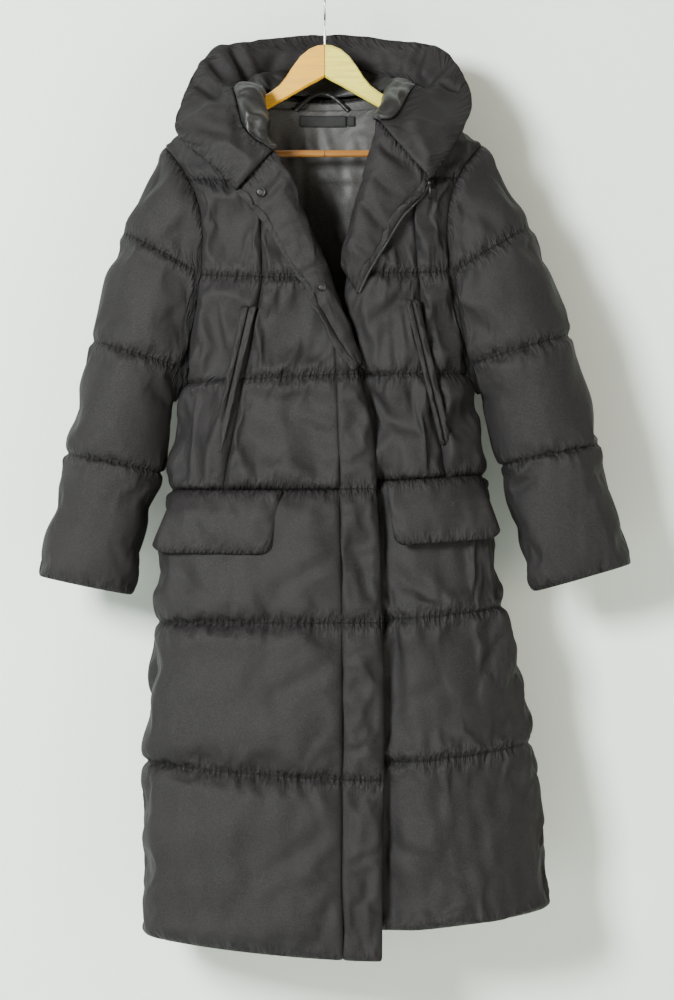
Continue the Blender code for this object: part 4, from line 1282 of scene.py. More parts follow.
class FrontTrim:
    """The placket, the pocket welts and the pocket flaps."""

    PLACKET_CREASES = (Crease((78, -530), (28, -560), 3, 5), Crease((74, -640), (26, -668), 3, 5),
                       Crease((80, -780), (30, -800), 3, 5), Crease((82, -905), (30, -930), 2.5, 5),
                       Crease((82, -1040), (34, -1058), 2.5, 5), Crease((80, -1190), (30, -1215), 2.5, 5))
    FLARE = 48.0
    FLAP_ROWS = (0.0, 0.15, 0.4, 0.7, 0.92, 1.0)
    FLAP_LIFTS = (13.0, 17.0, 20.0, 21.5, 22.0, 22.0)
    CORNER = 10.0

    def placket(self) -> Quilt:
        """The strip down the right front's free edge."""
        rows = BodyShape.rows(CHEST, HEM)
        first = next(i for i, v in enumerate(rows) if v > CHEST + 0.6)
        rows = rows[first:]
        points, normals = np.empty((len(rows), 10, 3)), np.empty((len(rows), 10, 3))
        for i, v in enumerate(rows):
            start = BodyShape.edge_angle(Face.RIGHT, OPENING_RIGHT, v)
            end = BodyShape.edge_angle(Face.RIGHT, PLACKET_FREE_EDGE, v)
            for j, angle in enumerate(np.linspace(start, end, 10)):
                points[i, j] = BodyShape.point(Face.RIGHT, angle, v)
                normals[i, j] = BodyShape.normal(Face.RIGHT, angle, v)
        points = drawn_in(drawn_in(points, columns=False), rows=False, amount=-2.2)
        points[..., 1] -= GAP / 2
        lines = tuple(i for i, v in enumerate(rows) if v == int(v))
        share = padding_share(points, lines, 31.0, (SOFT_SEAM, 0.0))
        press(points, normals, self.PLACKET_CREASES)
        return Quilt("placket", ("placket",), points, normals, share, (0, *lines[:-1], len(rows) - 1),
                     Stuffing(10.0, 1.5), seed=60)

    def welts(self) -> list[Quilt]:
        """The double welts of the two slanted pockets."""
        made = []
        for number, welt in enumerate(WELTS):
            points = np.empty((40, 5, 3))
            face = Face.RIGHT if welt.face == "right" else Face.LEFT
            for i, share in enumerate(np.linspace(0, 1, 40)):
                width = mix(welt.top_width, welt.foot_width, share)
                for j, offset in enumerate(np.linspace(-0.5, 0.5, 5)):
                    x = mix(welt.top_x, welt.foot_x, share) + offset * width
                    points[i, j] = BodyShape.lifted(face, x, mix(welt.top_z, welt.foot_z, share), WELT_LIFT)
            normals = grid_normals(points)
            points += normals * 2.0
            share = padding_share(points, (0, 39), 5.0)
            made.append(Quilt(welt.name, (welt.name,), points, normals, share, (0, 39),
                              Stuffing(1.8, 0.3, 1.0, 0.03, 0.06, 2.5, 0.1, 0.0), seed=70 + number))
        return made

    def flaps(self) -> list[Quilt]:
        """The two flaps, sewn at the waist line and standing off the skirt at their feet."""
        waist = QUILT_LINES[WAIST]
        made = []
        for number, flap in enumerate(FLAPS):
            columns, rows = np.linspace(0, 1, 25), np.linspace(0, 1, 14)
            points = np.empty((len(rows), len(columns), 3))
            for i, down in enumerate(rows):
                for j, over in enumerate(columns):
                    near = min(over, 1 - over)
                    rounding = self.CORNER * (1 - near / 0.1) ** 2 if near < 0.1 else 0.0
                    x = mix(mix(flap.top_outer.x, flap.top_inner.x, over),
                            mix(flap.foot_outer.x, flap.foot_inner.x, over), down)
                    z = mix(mix(flap.top_outer.z, flap.top_inner.z, over),
                            mix(flap.foot_outer.z, flap.foot_inner.z, over) + rounding,
                            down) + 3.5 * (1 - down)
                    flare = self.FLARE * smooth(down * 1.6)
                    y = -BodyShape.swell(x, z, waist.right_x - flare, waist.left_x + flare, waist.depth)
                    points[i, j] = (x, y - np.interp(down, self.FLAP_ROWS, self.FLAP_LIFTS), z)
            if flap.side > 0:
                points = points[:, ::-1]
            normals = grid_normals(points)
            made.append(Quilt(flap.name, (flap.name,), points, normals,
                              padding_share(points, (0, 13), 18.0), (0, 13),
                              Stuffing(4.5, 1.0, 2.0, 0.03, 0.08, 5.0, 0.2, 0.3), seed=80 + number))
        return made


@dataclass
class Thin:
    """A thin piece of cloth: a closed wall round a surface, with its folds given in its points."""

    name: str
    nodes: tuple[str, ...]
    points: Array
    half: float
    flip: float = 1.0

    def sew(self, finish: bpy.types.Material, levels: int = 1) -> bpy.types.Object:
        """Makes the wall in this material.

        Args:
            finish: Its material.
            levels: Subdivision levels.

        Returns:
            The piece's object.
        """
        normals = grid_normals(self.points) * self.flip
        over, down = lengths_along(self.points, 1), lengths_along(self.points, 0)
        apart = np.minimum(np.minimum(over, over[:, -1:] - over), np.minimum(down, down[-1:] - down))
        seam = np.stack([over + down, apart], axis=-1) * MM
        obj = build_grid(self.name, self.points + normals * self.half,
                         self.points - normals * self.half, seam, False)
        obj.data.materials.append(finish)
        obj.data.materials.append(finish)
        soften(obj, levels)
        return obj


class Inside:
    """What shows inside the neck: the back lining, the bare label, the size tab and the hanging loop."""

    LINING_LIFT, LABEL_LIFT, LOOP_LIFT = 12.5, 15.6, 15.6
    LOOP_X, LOOP_HALF, LOOP_FOOT_Z, LOOP_RISE = -4.0, 37.0, -162.0, 25.0

    def lining(self) -> Thin:
        """The lining from the neck seam to below the opening, with upright wrinkles."""
        points = np.empty((56, 46, 3))
        for i, down in enumerate(np.linspace(0, 1, 56)):
            for j, over in enumerate(np.linspace(-1, 1, 46)):
                x = over * mix(80, 130, down)
                z = mix(-160, -520, down)
                points[i, j] = BodyShape.lifted(Face.BACK, x, z, self.LINING_LIFT + 1.2 * smooth(down * 8))
        wrinkles = waves(points, 24, 90, (1, 1, 4.5)) + 0.6 * waves(points, 11, 91, (1, 1, 3))
        rows = np.linspace(0, 1, 56)[:, None]
        ease = np.minimum(1, rows * 9) * np.minimum(1, (1 - rows) * 9)
        points[..., 1] += wrinkles * 1.3 * ease
        return Thin("back_lining_cloth", ("back_lining",), points, 0.7, -1.0)

    def label(self) -> Thin:
        """The bare woven label."""
        points = np.empty((7, 23, 3))
        for i, z in enumerate(np.linspace(-168, -184, 7)):
            for j, x in enumerate(np.linspace(-36, 30, 23)):
                bend = 0.7 * math.sin(x / 9.0) * (i / 6)
                points[i, j] = BodyShape.lifted(Face.BACK, x, z, self.LABEL_LIFT + 0.6 + bend)
        return Thin("label_cloth", ("label",), points, 0.45, -1.0)

    def size_tab(self) -> Thin:
        """The small tab sewn beside the label."""
        points = np.empty((7, 6, 3))
        for i, z in enumerate(np.linspace(-169, -183, 7)):
            for j, x in enumerate(np.linspace(31, 42, 6)):
                points[i, j] = BodyShape.lifted(Face.BACK, x, z, self.LABEL_LIFT + 0.8 + 0.12 * i)
        return Thin("size_tab", (), points, 0.4, -1.0)

    def loop(self, finish: bpy.types.Material) -> bpy.types.Object:
        """The hanging loop, a strip rolled round into a cord."""
        curve = bpy.data.curves.new("hang_loop_cord", "CURVE")
        curve.dimensions = "3D"
        curve.bevel_depth = 3.0 * MM
        curve.bevel_resolution = 5
        curve.use_fill_caps = True
        turns = np.linspace(-1, 1, 49)
        spline = curve.splines.new("POLY")
        spline.points.add(len(turns) - 1)
        for number, (point, turn) in enumerate(zip(spline.points, turns, strict=True)):
            arch = math.cos(turn * math.pi / 2)
            x, z = self.LOOP_X + self.LOOP_HALF * turn, self.LOOP_FOOT_Z + self.LOOP_RISE * arch
            y = BodyShape.lifted(Face.BACK, x, self.LOOP_FOOT_Z, self.LOOP_LIFT)[1]
            point.co = (x * MM, y * MM, z * MM, 1.0)
            point.radius = 1 + 0.12 * math.sin(number * 1.3)
        curve.materials.append(finish)
        obj = bpy.data.objects.new("hang_loop_cord", curve)
        bpy.context.scene.collection.objects.link(obj)
        return obj


class Zip:
    """The half of the zip that shows along the turned-out left front: its tape, coil and slider."""

    OVERLAP = 4.3
    PITCH = 1.7

    def _line(self, distance: float, height: float, steps: int) -> Array:
        """A line along the front's outer edge, this far out and this high."""
        right, left, depth = BodyShape.section_at(1.5)
        points = []
        for row in refined(np.array(LAPEL_LEFT, dtype=float), steps):
            roll, outer = row[:2], row[2:]
            along = unit(outer - roll)
            x, z = outer + along * (distance - self.OVERLAP)
            y = -BodyShape.swell(x, z, right, left, depth) + BodyShape.tuck(x, z) - height
            points.append((x, y, z))
        return np.array(points)

    def tape(self) -> Thin:
        """The tape that the coil is sewn to."""
        lines = [self._line(d, h, 9)
                 for d, h in ((1.0, 20.0), (3.0, 20.3), (5.0, 20.2), (6.5, 19.8), (8.0, 19.0))]
        return Thin("zip_tape_cloth", ("zip_tape",), np.stack(lines, axis=1), 0.8)

    def coil(self, finish: bpy.types.Material) -> bpy.types.Object:
        """The coil: one small bent tooth after another along the tape's edge."""
        line = self._line(7.2, 21.6, 40)
        length = lengths_along(line[:, None], 0)[:, 0]
        wanted = np.arange(0, length[-1], self.PITCH)
        places = np.stack([np.interp(wanted, length, line[:, axis]) for axis in range(3)], axis=-1)
        ahead = unit(np.gradient(places, axis=0))
        bm = bmesh.new()
        for place, along in zip(places, ahead, strict=True):
            side = Vector(along).cross(Vector((0, -1, 0))).normalized()
            frame = Matrix((Vector(along), side, Vector((0, -1, 0)))).transposed().to_4x4()
            frame.translation = Vector(place * MM)
            bmesh.ops.create_icosphere(bm, subdivisions=1, radius=0.5,
                                       matrix=frame @ Matrix.Diagonal((0.0012, 0.0042, 0.0017, 1)))
        return finished("zip_coil", bm, finish)

    def slider(self, finish: bpy.types.Material) -> bpy.types.Object:
        """The slider's body, parked at the top of the coil, with its pull hanging from it."""
        line = self._line(6.0, 22.5, 40)
        place = Vector(line[6] * MM)
        bm = bmesh.new()
        body = bmesh.ops.create_cube(bm, size=1.0,
                                     matrix=Matrix.Translation(place) @ Matrix.Rotation(0.5, 4, "Y")
                                     @ Matrix.Diagonal((0.008, 0.0045, 0.011, 1)))
        bmesh.ops.bevel(bm, geom=list({e for v in body["verts"] for e in v.link_edges}),
                        offset=0.0012, segments=3,
                        affect="EDGES")
        pull = bmesh.ops.create_cube(bm, size=1.0,
                                     matrix=Matrix.Translation(place + Vector((0.001, -0.0035, -0.013)))
                                     @ Matrix.Rotation(0.25, 4, "X")
                                     @ Matrix.Diagonal((0.005, 0.0014, 0.022, 1)))
        bmesh.ops.bevel(bm, geom=list({e for v in pull["verts"] for e in v.link_edges}),
                        offset=0.0006, segments=2,
                        affect="EDGES")
        return finished("zip_slider", bm, finish)


def finished(name: str, bm: bmesh.types.BMesh, finish: bpy.types.Material) -> bpy.types.Object:
    """Turns a bmesh into an object in the scene.

    Args:
        name: The object's name.
        bm: The mesh, which is freed.
        finish: Its material.

    Returns:
        The object.
    """
    bmesh.ops.recalc_face_normals(bm, faces=bm.faces[:])
    for face in bm.faces:
        face.smooth = True
    mesh = bpy.data.meshes.new(name)
    bm.to_mesh(mesh)
    bm.free()
    mesh.materials.append(finish)
    obj = bpy.data.objects.new(name, mesh)
    bpy.context.scene.collection.objects.link(obj)
    return obj


class Bench:
    """Lays out one material or node group."""

    def __init__(self, tree: bpy.types.NodeTree) -> None:
        """Starts on an empty tree."""
        self.tree = tree
        tree.nodes.clear()

    def add(self, kind: str, settings: dict | None = None, **inputs: object) -> bpy.types.Node:
        """Adds a node.

        Args:
            kind: The node's type.
            settings: Properties of the node.
            **inputs: Sockets by name, with _ for a space; i0, i1, ... are sockets by number.

        Returns:
            The node.
        """
        node = self.tree.nodes.new(kind)
        for key, value in (settings or {}).items():
            setattr(node, key, value)
        for key, value in inputs.items():
            socket = node.inputs[int(key[1:])] if key[0] == "i" and key[1:].isdigit() else node.inputs[
                key.replace("_", " ")]
            if isinstance(value, bpy.types.NodeSocket):
                self.tree.links.new(value, socket)
            else:
                socket.default_value = value
        return node

    def math(self, operation: str, first: object, second: object = 0.0,
             third: object = 0.0) -> bpy.types.NodeSocket:
        """Adds one sum and returns its result."""
        return self.add("ShaderNodeMath", {"operation": operation}, i0=first, i1=second, i2=third).outputs[0]

    def noise(self, vector: object, scale: float, detail: float = 2.0,
              rough: float = 0.5) -> bpy.types.NodeSocket:
        """Adds noise and returns its value."""
        return self.add("ShaderNodeTexNoise", None, Vector=vector, Scale=scale, Detail=detail,
                        Roughness=rough).outputs["Fac"]

    def ramp(self, value: object, low: float, high: float) -> bpy.types.NodeSocket:
        """Maps low to 0 and high to 1, with ends held."""
        node = self.add("ShaderNodeMapRange", {"interpolation_type": "SMOOTHSTEP"}, Value=value)
        node.inputs["From Min"].default_value = low
        node.inputs["From Max"].default_value = high
        return node.outputs["Result"]

    def shade(self, mask: object, share: float, colour: object, base: tuple[float, float, float],
              factor: float = 1.0) -> bpy.types.NodeSocket:
        """Lays a darker or lighter shade of a base colour over a colour, where the mask is, by a share."""
        return self.blend(self.math("MULTIPLY", mask, share), colour, (*(c * factor for c in base), 1))

    def blend(self, share: object, first: object, second: object) -> bpy.types.NodeSocket:
        """Mixes two colours.

        Args:
            share: The second colour's share.
            first: One colour.
            second: The other.

        Returns:
            The mixed colour.
        """
        node = self.add("ShaderNodeMix", {"data_type": "RGBA"})
        for socket, value in ((node.inputs[0], share), (node.inputs[6], first), (node.inputs[7], second)):
            if isinstance(value, bpy.types.NodeSocket):
                self.tree.links.new(value, socket)
            else:
                socket.default_value = value
        return node.outputs[2]


def node_group(name: str, inputs: tuple[str, ...], outputs: tuple[str, ...],
               fill: Callable[[Bench, bpy.types.Node, bpy.types.Node], None]) -> bpy.types.NodeTree:
    """Makes a shader node group of values, once.

    Args:
        name: The group's name.
        inputs: Names of its inputs; Vector is a vector and the rest are values.
        outputs: Names of its outputs, all values.
        fill: Lays out the nodes between the group's input and output nodes.

    Returns:
        The group.
    """
    found = bpy.data.node_groups.get(name)
    if found is not None:
        return found
    tree = bpy.data.node_groups.new(name, "ShaderNodeTree")
    for label in inputs:
        kind = "NodeSocketVector" if label == "Vector" else "NodeSocketFloat"
        tree.interface.new_socket(name=label, in_out="INPUT", socket_type=kind)
    for label in outputs:
        tree.interface.new_socket(name=label, in_out="OUTPUT", socket_type="NodeSocketFloat")
    bench = Bench(tree)
    fill(bench, bench.add("NodeGroupInput"), bench.add("NodeGroupOutput"))
    return tree


THREAD_PITCH = 0.00075  # of the weave
STITCH_LENGTH = 0.0034
NICK_SPACING = 0.0086  # between the small pinches along a line of stitching


def weave_group() -> bpy.types.NodeTree:
    """Fine plain weave: Height rises on the threads, Slub varies from thread to thread."""

    def fill(bench: Bench, start: bpy.types.Node, end: bpy.types.Node) -> None:
        """Links the threads and their uneven thickness."""
        parts = bench.add("ShaderNodeSeparateXYZ", None, Vector=start.outputs["Vector"])
        pitch = 2 * math.pi / THREAD_PITCH
        over = bench.math("SINE", bench.math("MULTIPLY", parts.outputs["X"], pitch))
        down = bench.math("SINE", bench.math("MULTIPLY", parts.outputs["Y"], pitch))
        height = bench.math("MULTIPLY", over, down)
        slub = bench.noise(start.outputs["Vector"], 900.0, 2.0)
        bench.tree.links.new(bench.math("ADD", bench.math("MULTIPLY", height, 0.5), 0.5),
                             end.inputs["Height"])
        bench.tree.links.new(slub, end.inputs["Slub"])

    return node_group("Weave", ("Vector",), ("Height", "Slub"), fill)


def stitching_group() -> bpy.types.NodeTree:
    """Stitching on the "seam" map: masks of the groove, the thread and the nicks, and the height of the
    Gathers. The groove and nick masks are used to paint shade into the cloth's colour.
    """

    def fill(bench: Bench, start: bpy.types.Node, end: bpy.types.Node) -> None:
        """Links the groove, the thread, the pleats and the nicks beside it."""
        parts = bench.add("ShaderNodeSeparateXYZ", None, Vector=start.outputs["Vector"])
        along, apart = parts.outputs["X"], bench.math("ABSOLUTE", parts.outputs["Y"])
        groove = bench.math("SUBTRACT", 1.0, bench.ramp(apart, 0.0004, 0.0030))
        dash = bench.ramp(bench.math("SINE", bench.math("MULTIPLY", along, 2 * math.pi / STITCH_LENGTH)),
                          -0.55, -0.25)
        thread = bench.math("MULTIPLY", bench.math("SUBTRACT", 1.0, bench.ramp(apart, 0.00025, 0.0006)), dash)
        run = bench.add("ShaderNodeCombineXYZ", None, X=bench.math("MULTIPLY", along, 120.0),
                        Y=bench.math("MULTIPLY", parts.outputs["Y"], 38.0))
        folds = bench.add("ShaderNodeTexNoise", None, Vector=run.outputs[0],
                          Scale=1.0, Detail=2.0, Roughness=0.5)
        near = bench.math("MULTIPLY", bench.math("SUBTRACT", 1.0, bench.ramp(apart, 0.003, 0.026)),
                          bench.ramp(apart, 0.0, 0.0015))
        height = bench.math("MULTIPLY", bench.math("SUBTRACT", folds.outputs["Fac"], 0.5), near)
        wander = bench.add("ShaderNodeTexNoise", None, Vector=run.outputs[0],
                           Scale=0.35, Detail=1.0).outputs["Fac"]
        beat = bench.math("ADD", bench.math("MULTIPLY", along, 2 * math.pi / NICK_SPACING),
                          bench.math("MULTIPLY", wander, 15.0))
        nick = bench.math("MULTIPLY", bench.ramp(bench.math("SINE", beat), 0.35, 0.95),
                          bench.math("SUBTRACT", 1.0, bench.ramp(apart, 0.0015, 0.0075)))
        bench.tree.links.new(nick, end.inputs["Nicks"])
        bench.tree.links.new(groove, end.inputs["Groove"])
        bench.tree.links.new(thread, end.inputs["Thread"])
        bench.tree.links.new(height, end.inputs["Gathers"])

    return node_group("Stitching", ("Vector",), ("Groove", "Thread", "Gathers", "Nicks"), fill)


def grain_group() -> bpy.types.NodeTree:
    """Wood grain that runs along X: Rings and Pores."""

    def fill(bench: Bench, start: bpy.types.Node, end: bpy.types.Node) -> None:
        """Links the growth rings and the pores."""
        stretched = bench.add("ShaderNodeVectorMath", {"operation": "MULTIPLY"}, i0=start.outputs["Vector"],
                              i1=(14.0, 160.0, 160.0))
        rings = bench.noise(stretched.outputs[0], 1.0, 3.0, 0.55)
        fine = bench.add("ShaderNodeVectorMath", {"operation": "MULTIPLY"}, i0=start.outputs["Vector"],
                         i1=(60.0, 1500.0, 1500.0))
        pores = bench.noise(fine.outputs[0], 1.0, 2.0)
        bench.tree.links.new(bench.ramp(rings, 0.3, 0.7), end.inputs["Rings"])
        bench.tree.links.new(bench.ramp(pores, 0.58, 0.68), end.inputs["Pores"])

    return node_group("Grain", ("Vector",), ("Rings", "Pores"), fill)


@dataclass(frozen=True)
class ClothFinish:
    """How a cloth looks."""

    name: str
    colour: tuple[float, float, float]
    worn: tuple[float, float, float]
    roughness: float
    sheen: float
    specular: float
    crinkle: float
    crinkle_scale: float
    gathers: float
    weave: float = 0.00006
    # how strongly the pinches beside the stitching show: in the bump and in the painted shade of their dips
    # and nicks
    pinched: float = 1.0

    def material(self) -> bpy.types.Material:
        """Makes the cloth's material."""
        made = bpy.data.materials.new(self.name)
        made.use_nodes = True
        bench = Bench(made.node_tree)
        place = bench.add("ShaderNodeTexCoord").outputs["Object"]
        flat = bench.add("ShaderNodeUVMap", {"uv_map": "cloth"}).outputs["UV"]
        seam = bench.add("ShaderNodeUVMap", {"uv_map": "seam"}).outputs["UV"]
        weave = bench.add("ShaderNodeGroup", {"node_tree": weave_group()}, Vector=flat)
        stitch = bench.add("ShaderNodeGroup", {"node_tree": stitching_group()}, Vector=seam)
        broad = bench.noise(place, 9.0, 3.0)
        specks = bench.noise(place, 620.0, 2.0)
        crinkle = bench.add("ShaderNodeTexNoise", {"noise_type": "RIDGED_MULTIFRACTAL"}, Vector=place,
                            Scale=self.crinkle_scale, Detail=4.0, Roughness=0.55).outputs["Fac"]
        colour = bench.blend(bench.ramp(broad, 0.35, 0.7), (*self.colour, 1), (*self.worn, 1))
        colour = bench.shade(bench.ramp(specks, 0.42, 0.6), 0.5, colour, self.worn, 1.9)
        # Painted shade: the cloth's colour is darkened in the groove of each line of stitching.
        colour = bench.shade(stitch.outputs["Groove"], 0.75, colour, self.colour, 0.08)
        # Painted shade: the colour is darker where the gathers beside the stitching dip, scaled by pinched.
        valley_shade = bench.math("SUBTRACT", 1.0, bench.ramp(stitch.outputs["Gathers"], -0.16, -0.03))
        colour = bench.shade(valley_shade, 0.5 * self.pinched, colour, self.colour, 0.25)
        colour = bench.shade(stitch.outputs["Thread"], 0.7, colour, self.colour, 1.3)
        # Painted shade in the small pinches (nicks) along the stitching; their dip is also bumped in below.
        colour = bench.shade(stitch.outputs["Nicks"], 0.45 * self.pinched, colour, self.colour, 0.1)
        rough = bench.math("ADD", bench.math("MULTIPLY", bench.math("SUBTRACT", broad, 0.5), 0.12),
                           self.roughness)
        height = bench.math("MULTIPLY", weave.outputs["Height"], self.weave)
        height = bench.math("MULTIPLY_ADD", weave.outputs["Slub"], self.weave, height)
        height = bench.math("MULTIPLY_ADD", crinkle, self.crinkle, height)
        height = bench.math("MULTIPLY_ADD", stitch.outputs["Gathers"], self.gathers * self.pinched, height)
        height = bench.math("MULTIPLY_ADD", stitch.outputs["Thread"], 0.0004, height)
        height = bench.math("MULTIPLY_ADD", stitch.outputs["Nicks"], -0.0014 * self.pinched, height)
        bump = bench.add("ShaderNodeBump", None, Strength=1.0, Distance=1.0, Height=height)
        surface = bench.add("ShaderNodeBsdfPrincipled", None, Base_Color=colour, Roughness=rough,
                            Normal=bump.outputs["Normal"])
        surface.inputs["Sheen Weight"].default_value = self.sheen
        surface.inputs["Sheen Roughness"].default_value = 0.45
        surface.inputs["Specular IOR Level"].default_value = self.specular
        bench.add("ShaderNodeOutputMaterial", None, Surface=surface.outputs[0])
        made.diffuse_color = (*self.colour, 1)
        return made


@dataclass(frozen=True)
class WoodFinish:
    """Varnished wood: its colours on the wearer's right and left halves, and the dark colour of its grain and
    its middle joint.
    """

    name: str
    right: tuple[float, float, float]
    left: tuple[float, float, float]
    dark: tuple[float, float, float]
    roughness: float = 0.36

    def material(self) -> bpy.types.Material:
        """Makes the wood's material."""
        made = bpy.data.materials.new(self.name)
        made.use_nodes = True
        bench = Bench(made.node_tree)
        place = bench.add("ShaderNodeTexCoord").outputs["Object"]
        grain = bench.add("ShaderNodeGroup", {"node_tree": grain_group()}, Vector=place)
        half = bench.ramp(bench.add("ShaderNodeSeparateXYZ", None, Vector=place).outputs["X"],
                          -0.0006, 0.0006)
        colour = bench.blend(half, (*self.right, 1), (*self.left, 1))
        colour = bench.shade(grain.outputs["Rings"], 0.35, colour, self.dark)
        colour = bench.shade(grain.outputs["Pores"], 0.35, colour, self.dark)
        joint = bench.math("SUBTRACT", 1.0, bench.ramp(bench.math("ABSOLUTE", bench.add(
            "ShaderNodeSeparateXYZ", None, Vector=place).outputs["X"]), 0.0003, 0.0009))
        colour = bench.shade(joint, 0.8, colour, self.dark, 0.3)
        height = bench.math("MULTIPLY", grain.outputs["Rings"], 0.00012)
        height = bench.math("MULTIPLY_ADD", joint, -0.0006, height)
        bump = bench.add("ShaderNodeBump", None, Strength=0.7, Distance=1.0, Height=height)
        rough = bench.math("MULTIPLY_ADD", grain.outputs["Rings"], 0.08, self.roughness)
        surface = bench.add("ShaderNodeBsdfPrincipled", None, Base_Color=colour, Roughness=rough,
                            Normal=bump.outputs["Normal"])
        surface.inputs["Coat Weight"].default_value = 0.35
        surface.inputs["Coat Roughness"].default_value = 0.22
        bench.add("ShaderNodeOutputMaterial", None, Surface=surface.outputs[0])
        return made


@dataclass(frozen=True)
class MetalFinish:
    """A metal with fine scratches."""

    name: str
    colour: tuple[float, float, float]
    roughness: float

    def material(self) -> bpy.types.Material:
        """Makes the metal's material."""
        made = bpy.data.materials.new(self.name)
        made.use_nodes = True
        bench = Bench(made.node_tree)
        place = bench.add("ShaderNodeTexCoord").outputs["Object"]
        wear = bench.noise(place, 260.0, 4.0, 0.6)
        scratches = bench.noise(bench.add("ShaderNodeVectorMath", {"operation": "MULTIPLY"}, i0=place,
                                          i1=(900.0, 900.0, 90.0)).outputs[0], 1.0, 2.0)
        rough = bench.math("MULTIPLY_ADD", wear, 0.16, self.roughness - 0.05)
        colour = bench.blend(bench.math("MULTIPLY", wear, 0.4), (*self.colour, 1),
                             tuple(c * 0.6 for c in self.colour) + (1,))
        bump = bench.add("ShaderNodeBump", None, Strength=0.25, Distance=0.0001, Height=scratches)
        surface = bench.add("ShaderNodeBsdfPrincipled", None, Base_Color=colour, Roughness=rough,
                            Normal=bump.outputs["Normal"])
        surface.inputs["Metallic"].default_value = 1.0
        bench.add("ShaderNodeOutputMaterial", None, Surface=surface.outputs[0])
        return made


SHELL = ClothFinish("shell_cloth_detailed", (0.0088, 0.0079, 0.0083), (0.0120, 0.0107, 0.0112),
                    0.66, 0.0, 0.15,
                    0.0006, 60.0, 0.0085)
# Painted light: the lining cloth made lighter for the back lining, which sits in shade; it also lines the
# body and the sleeves.
LINING = ClothFinish("lining_cloth_detailed", (0.022, 0.0205, 0.020), (0.029, 0.027, 0.026), 0.54, 0.05, 0.36,
                     0.0022, 45.0, 0.003, 0.00003, 0.3)
# Painted shade: the same lining cloth made darker for the hood's lining, which faces up into the light.
HOOD_LINING_PAINTED_DARKER = ClothFinish("hood_lining_cloth_detailed", (0.0075, 0.007, 0.007), (0.011, 0.0102, 0.0102),
                          0.44, 0.03, 0.3,
                          0.0024, 42.0, 0.003, 0.00003, 0.3)
BLACK_TAPE = ClothFinish("black_tape_detailed", (0.006, 0.006, 0.006), (0.010, 0.010, 0.010), 0.7, 0.1, 0.3,
                         0.0002, 120.0, 0.0, 0.00012, 0.0)
WOOD = WoodFinish("pale_wood_detailed", (0.64, 0.33, 0.006), (0.64, 0.58, 0.07), (0.30, 0.12, 0.01))
BAR_WOOD = WoodFinish("bar_wood_detailed", (0.26, 0.10, 0.006), (0.26, 0.10, 0.006), (0.15, 0.05, 0.006))
STEEL = MetalFinish("steel_detailed", (0.62, 0.62, 0.60), 0.22)
SNAP_METAL = MetalFinish("snap_metal_detailed", (0.035, 0.034, 0.034), 0.42)
COIL = MetalFinish("zip_coil_detailed", (0.10, 0.10, 0.105), 0.3)


@dataclass
class Studio:
    """The pale wall and floor, the soft lights and the camera."""

    distance: float = 4.5
    target: tuple[float, float, float] = (0.017, 0.0, -0.711)
    lens: float = 115.7

    def _stage(self) -> None:
        """The wall behind the coat, which is clear from behind, and the floor."""
        made = bpy.data.materials.new("pale_wall")
        made.use_nodes = True
        bench = Bench(made.node_tree)
        place = bench.add("ShaderNodeTexCoord").outputs["Object"]
        paint = bench.noise(place, 90.0, 3.0)
        colour = bench.blend(bench.noise(place, 1.5, 2.0), (0.735, 0.782, 0.738, 1), (0.775, 0.817, 0.778, 1))
        bump = bench.add("ShaderNodeBump", None, Strength=0.15, Distance=0.001, Height=paint)
        surface = bench.add("ShaderNodeBsdfPrincipled", None, Base_Color=colour, Roughness=0.85,
                            Normal=bump.outputs["Normal"])
        clear = bench.add("ShaderNodeBsdfTransparent")
        back = bench.add("ShaderNodeNewGeometry").outputs["Backfacing"]
        choice = bench.add("ShaderNodeMixShader", None, i0=back, i1=surface.outputs[0], i2=clear.outputs[0])
        bench.add("ShaderNodeOutputMaterial", None, Surface=choice.outputs[0])
        for name, turn, place_at in (("wall", math.pi / 2, (0, WALL_Y * MM, 0)),
                                     ("floor", 0.0, (0, 0, FLOOR_Z * MM))):
            bm = bmesh.new()
            bmesh.ops.create_grid(bm, x_segments=2, y_segments=2, size=6.0,
                                  matrix=Matrix.Translation(place_at) @ Matrix.Rotation(turn, 4, "X"))
            mesh = bpy.data.meshes.new(name)
            bm.to_mesh(mesh)
            bm.free()
            mesh.materials.append(made)
            obj = bpy.data.objects.new(name, mesh)
            bpy.context.scene.collection.objects.link(obj)

    def _light(self, name: str, place: tuple[float, float, float], size: float, power: float,
               colour: tuple[float, float, float]) -> None:
        """A square soft light aimed at the coat.

        Args:
            name: Its name.
            place: Where it stands, in metres.
            size: Length of its side.
            power: Watts.
            colour: Its colour.
        """
        lamp = bpy.data.lights.new(name, "AREA")
        lamp.size = size
        lamp.energy = power
        lamp.color = colour
        obj = bpy.data.objects.new(name, lamp)
        obj.location = place
        obj.rotation_euler = (Vector(self.target) - Vector(place)).to_track_quat("-Z", "Y").to_euler()
        bpy.context.scene.collection.objects.link(obj)

    def build(self) -> None:
        """Sets the stage, the lights, the world and the camera."""
        scene = bpy.context.scene
        self._stage()
        self._light("key", (-1.8, -3.2, 0.3), 0.9, 400.0, (0.955, 1.0, 0.985))
        self._light("fill", (2.4, -3.0, -0.7), 2.0, 66.0, (1.0, 0.92, 0.80))
        self._light("back", (0.4, 3.2, 0.6), 2.0, 170.0, (1.0, 0.99, 0.98))
        world = bpy.data.worlds.new("studio")
        world.use_nodes = True
        world.node_tree.nodes["Background"].inputs["Color"].default_value = (1.0, 0.89, 0.74, 1)
        world.node_tree.nodes["Background"].inputs["Strength"].default_value = 0.27
        scene.world = world
        camera = bpy.data.cameras.new("camera")
        camera.lens = self.lens
        camera.sensor_width = camera.sensor_height = 36.0
        obj = bpy.data.objects.new("camera", camera)
        obj.location = (self.target[0], -self.distance, self.target[2])
        obj.rotation_euler = (math.pi / 2, 0, 0)
        scene.collection.objects.link(obj)
        scene.camera = obj


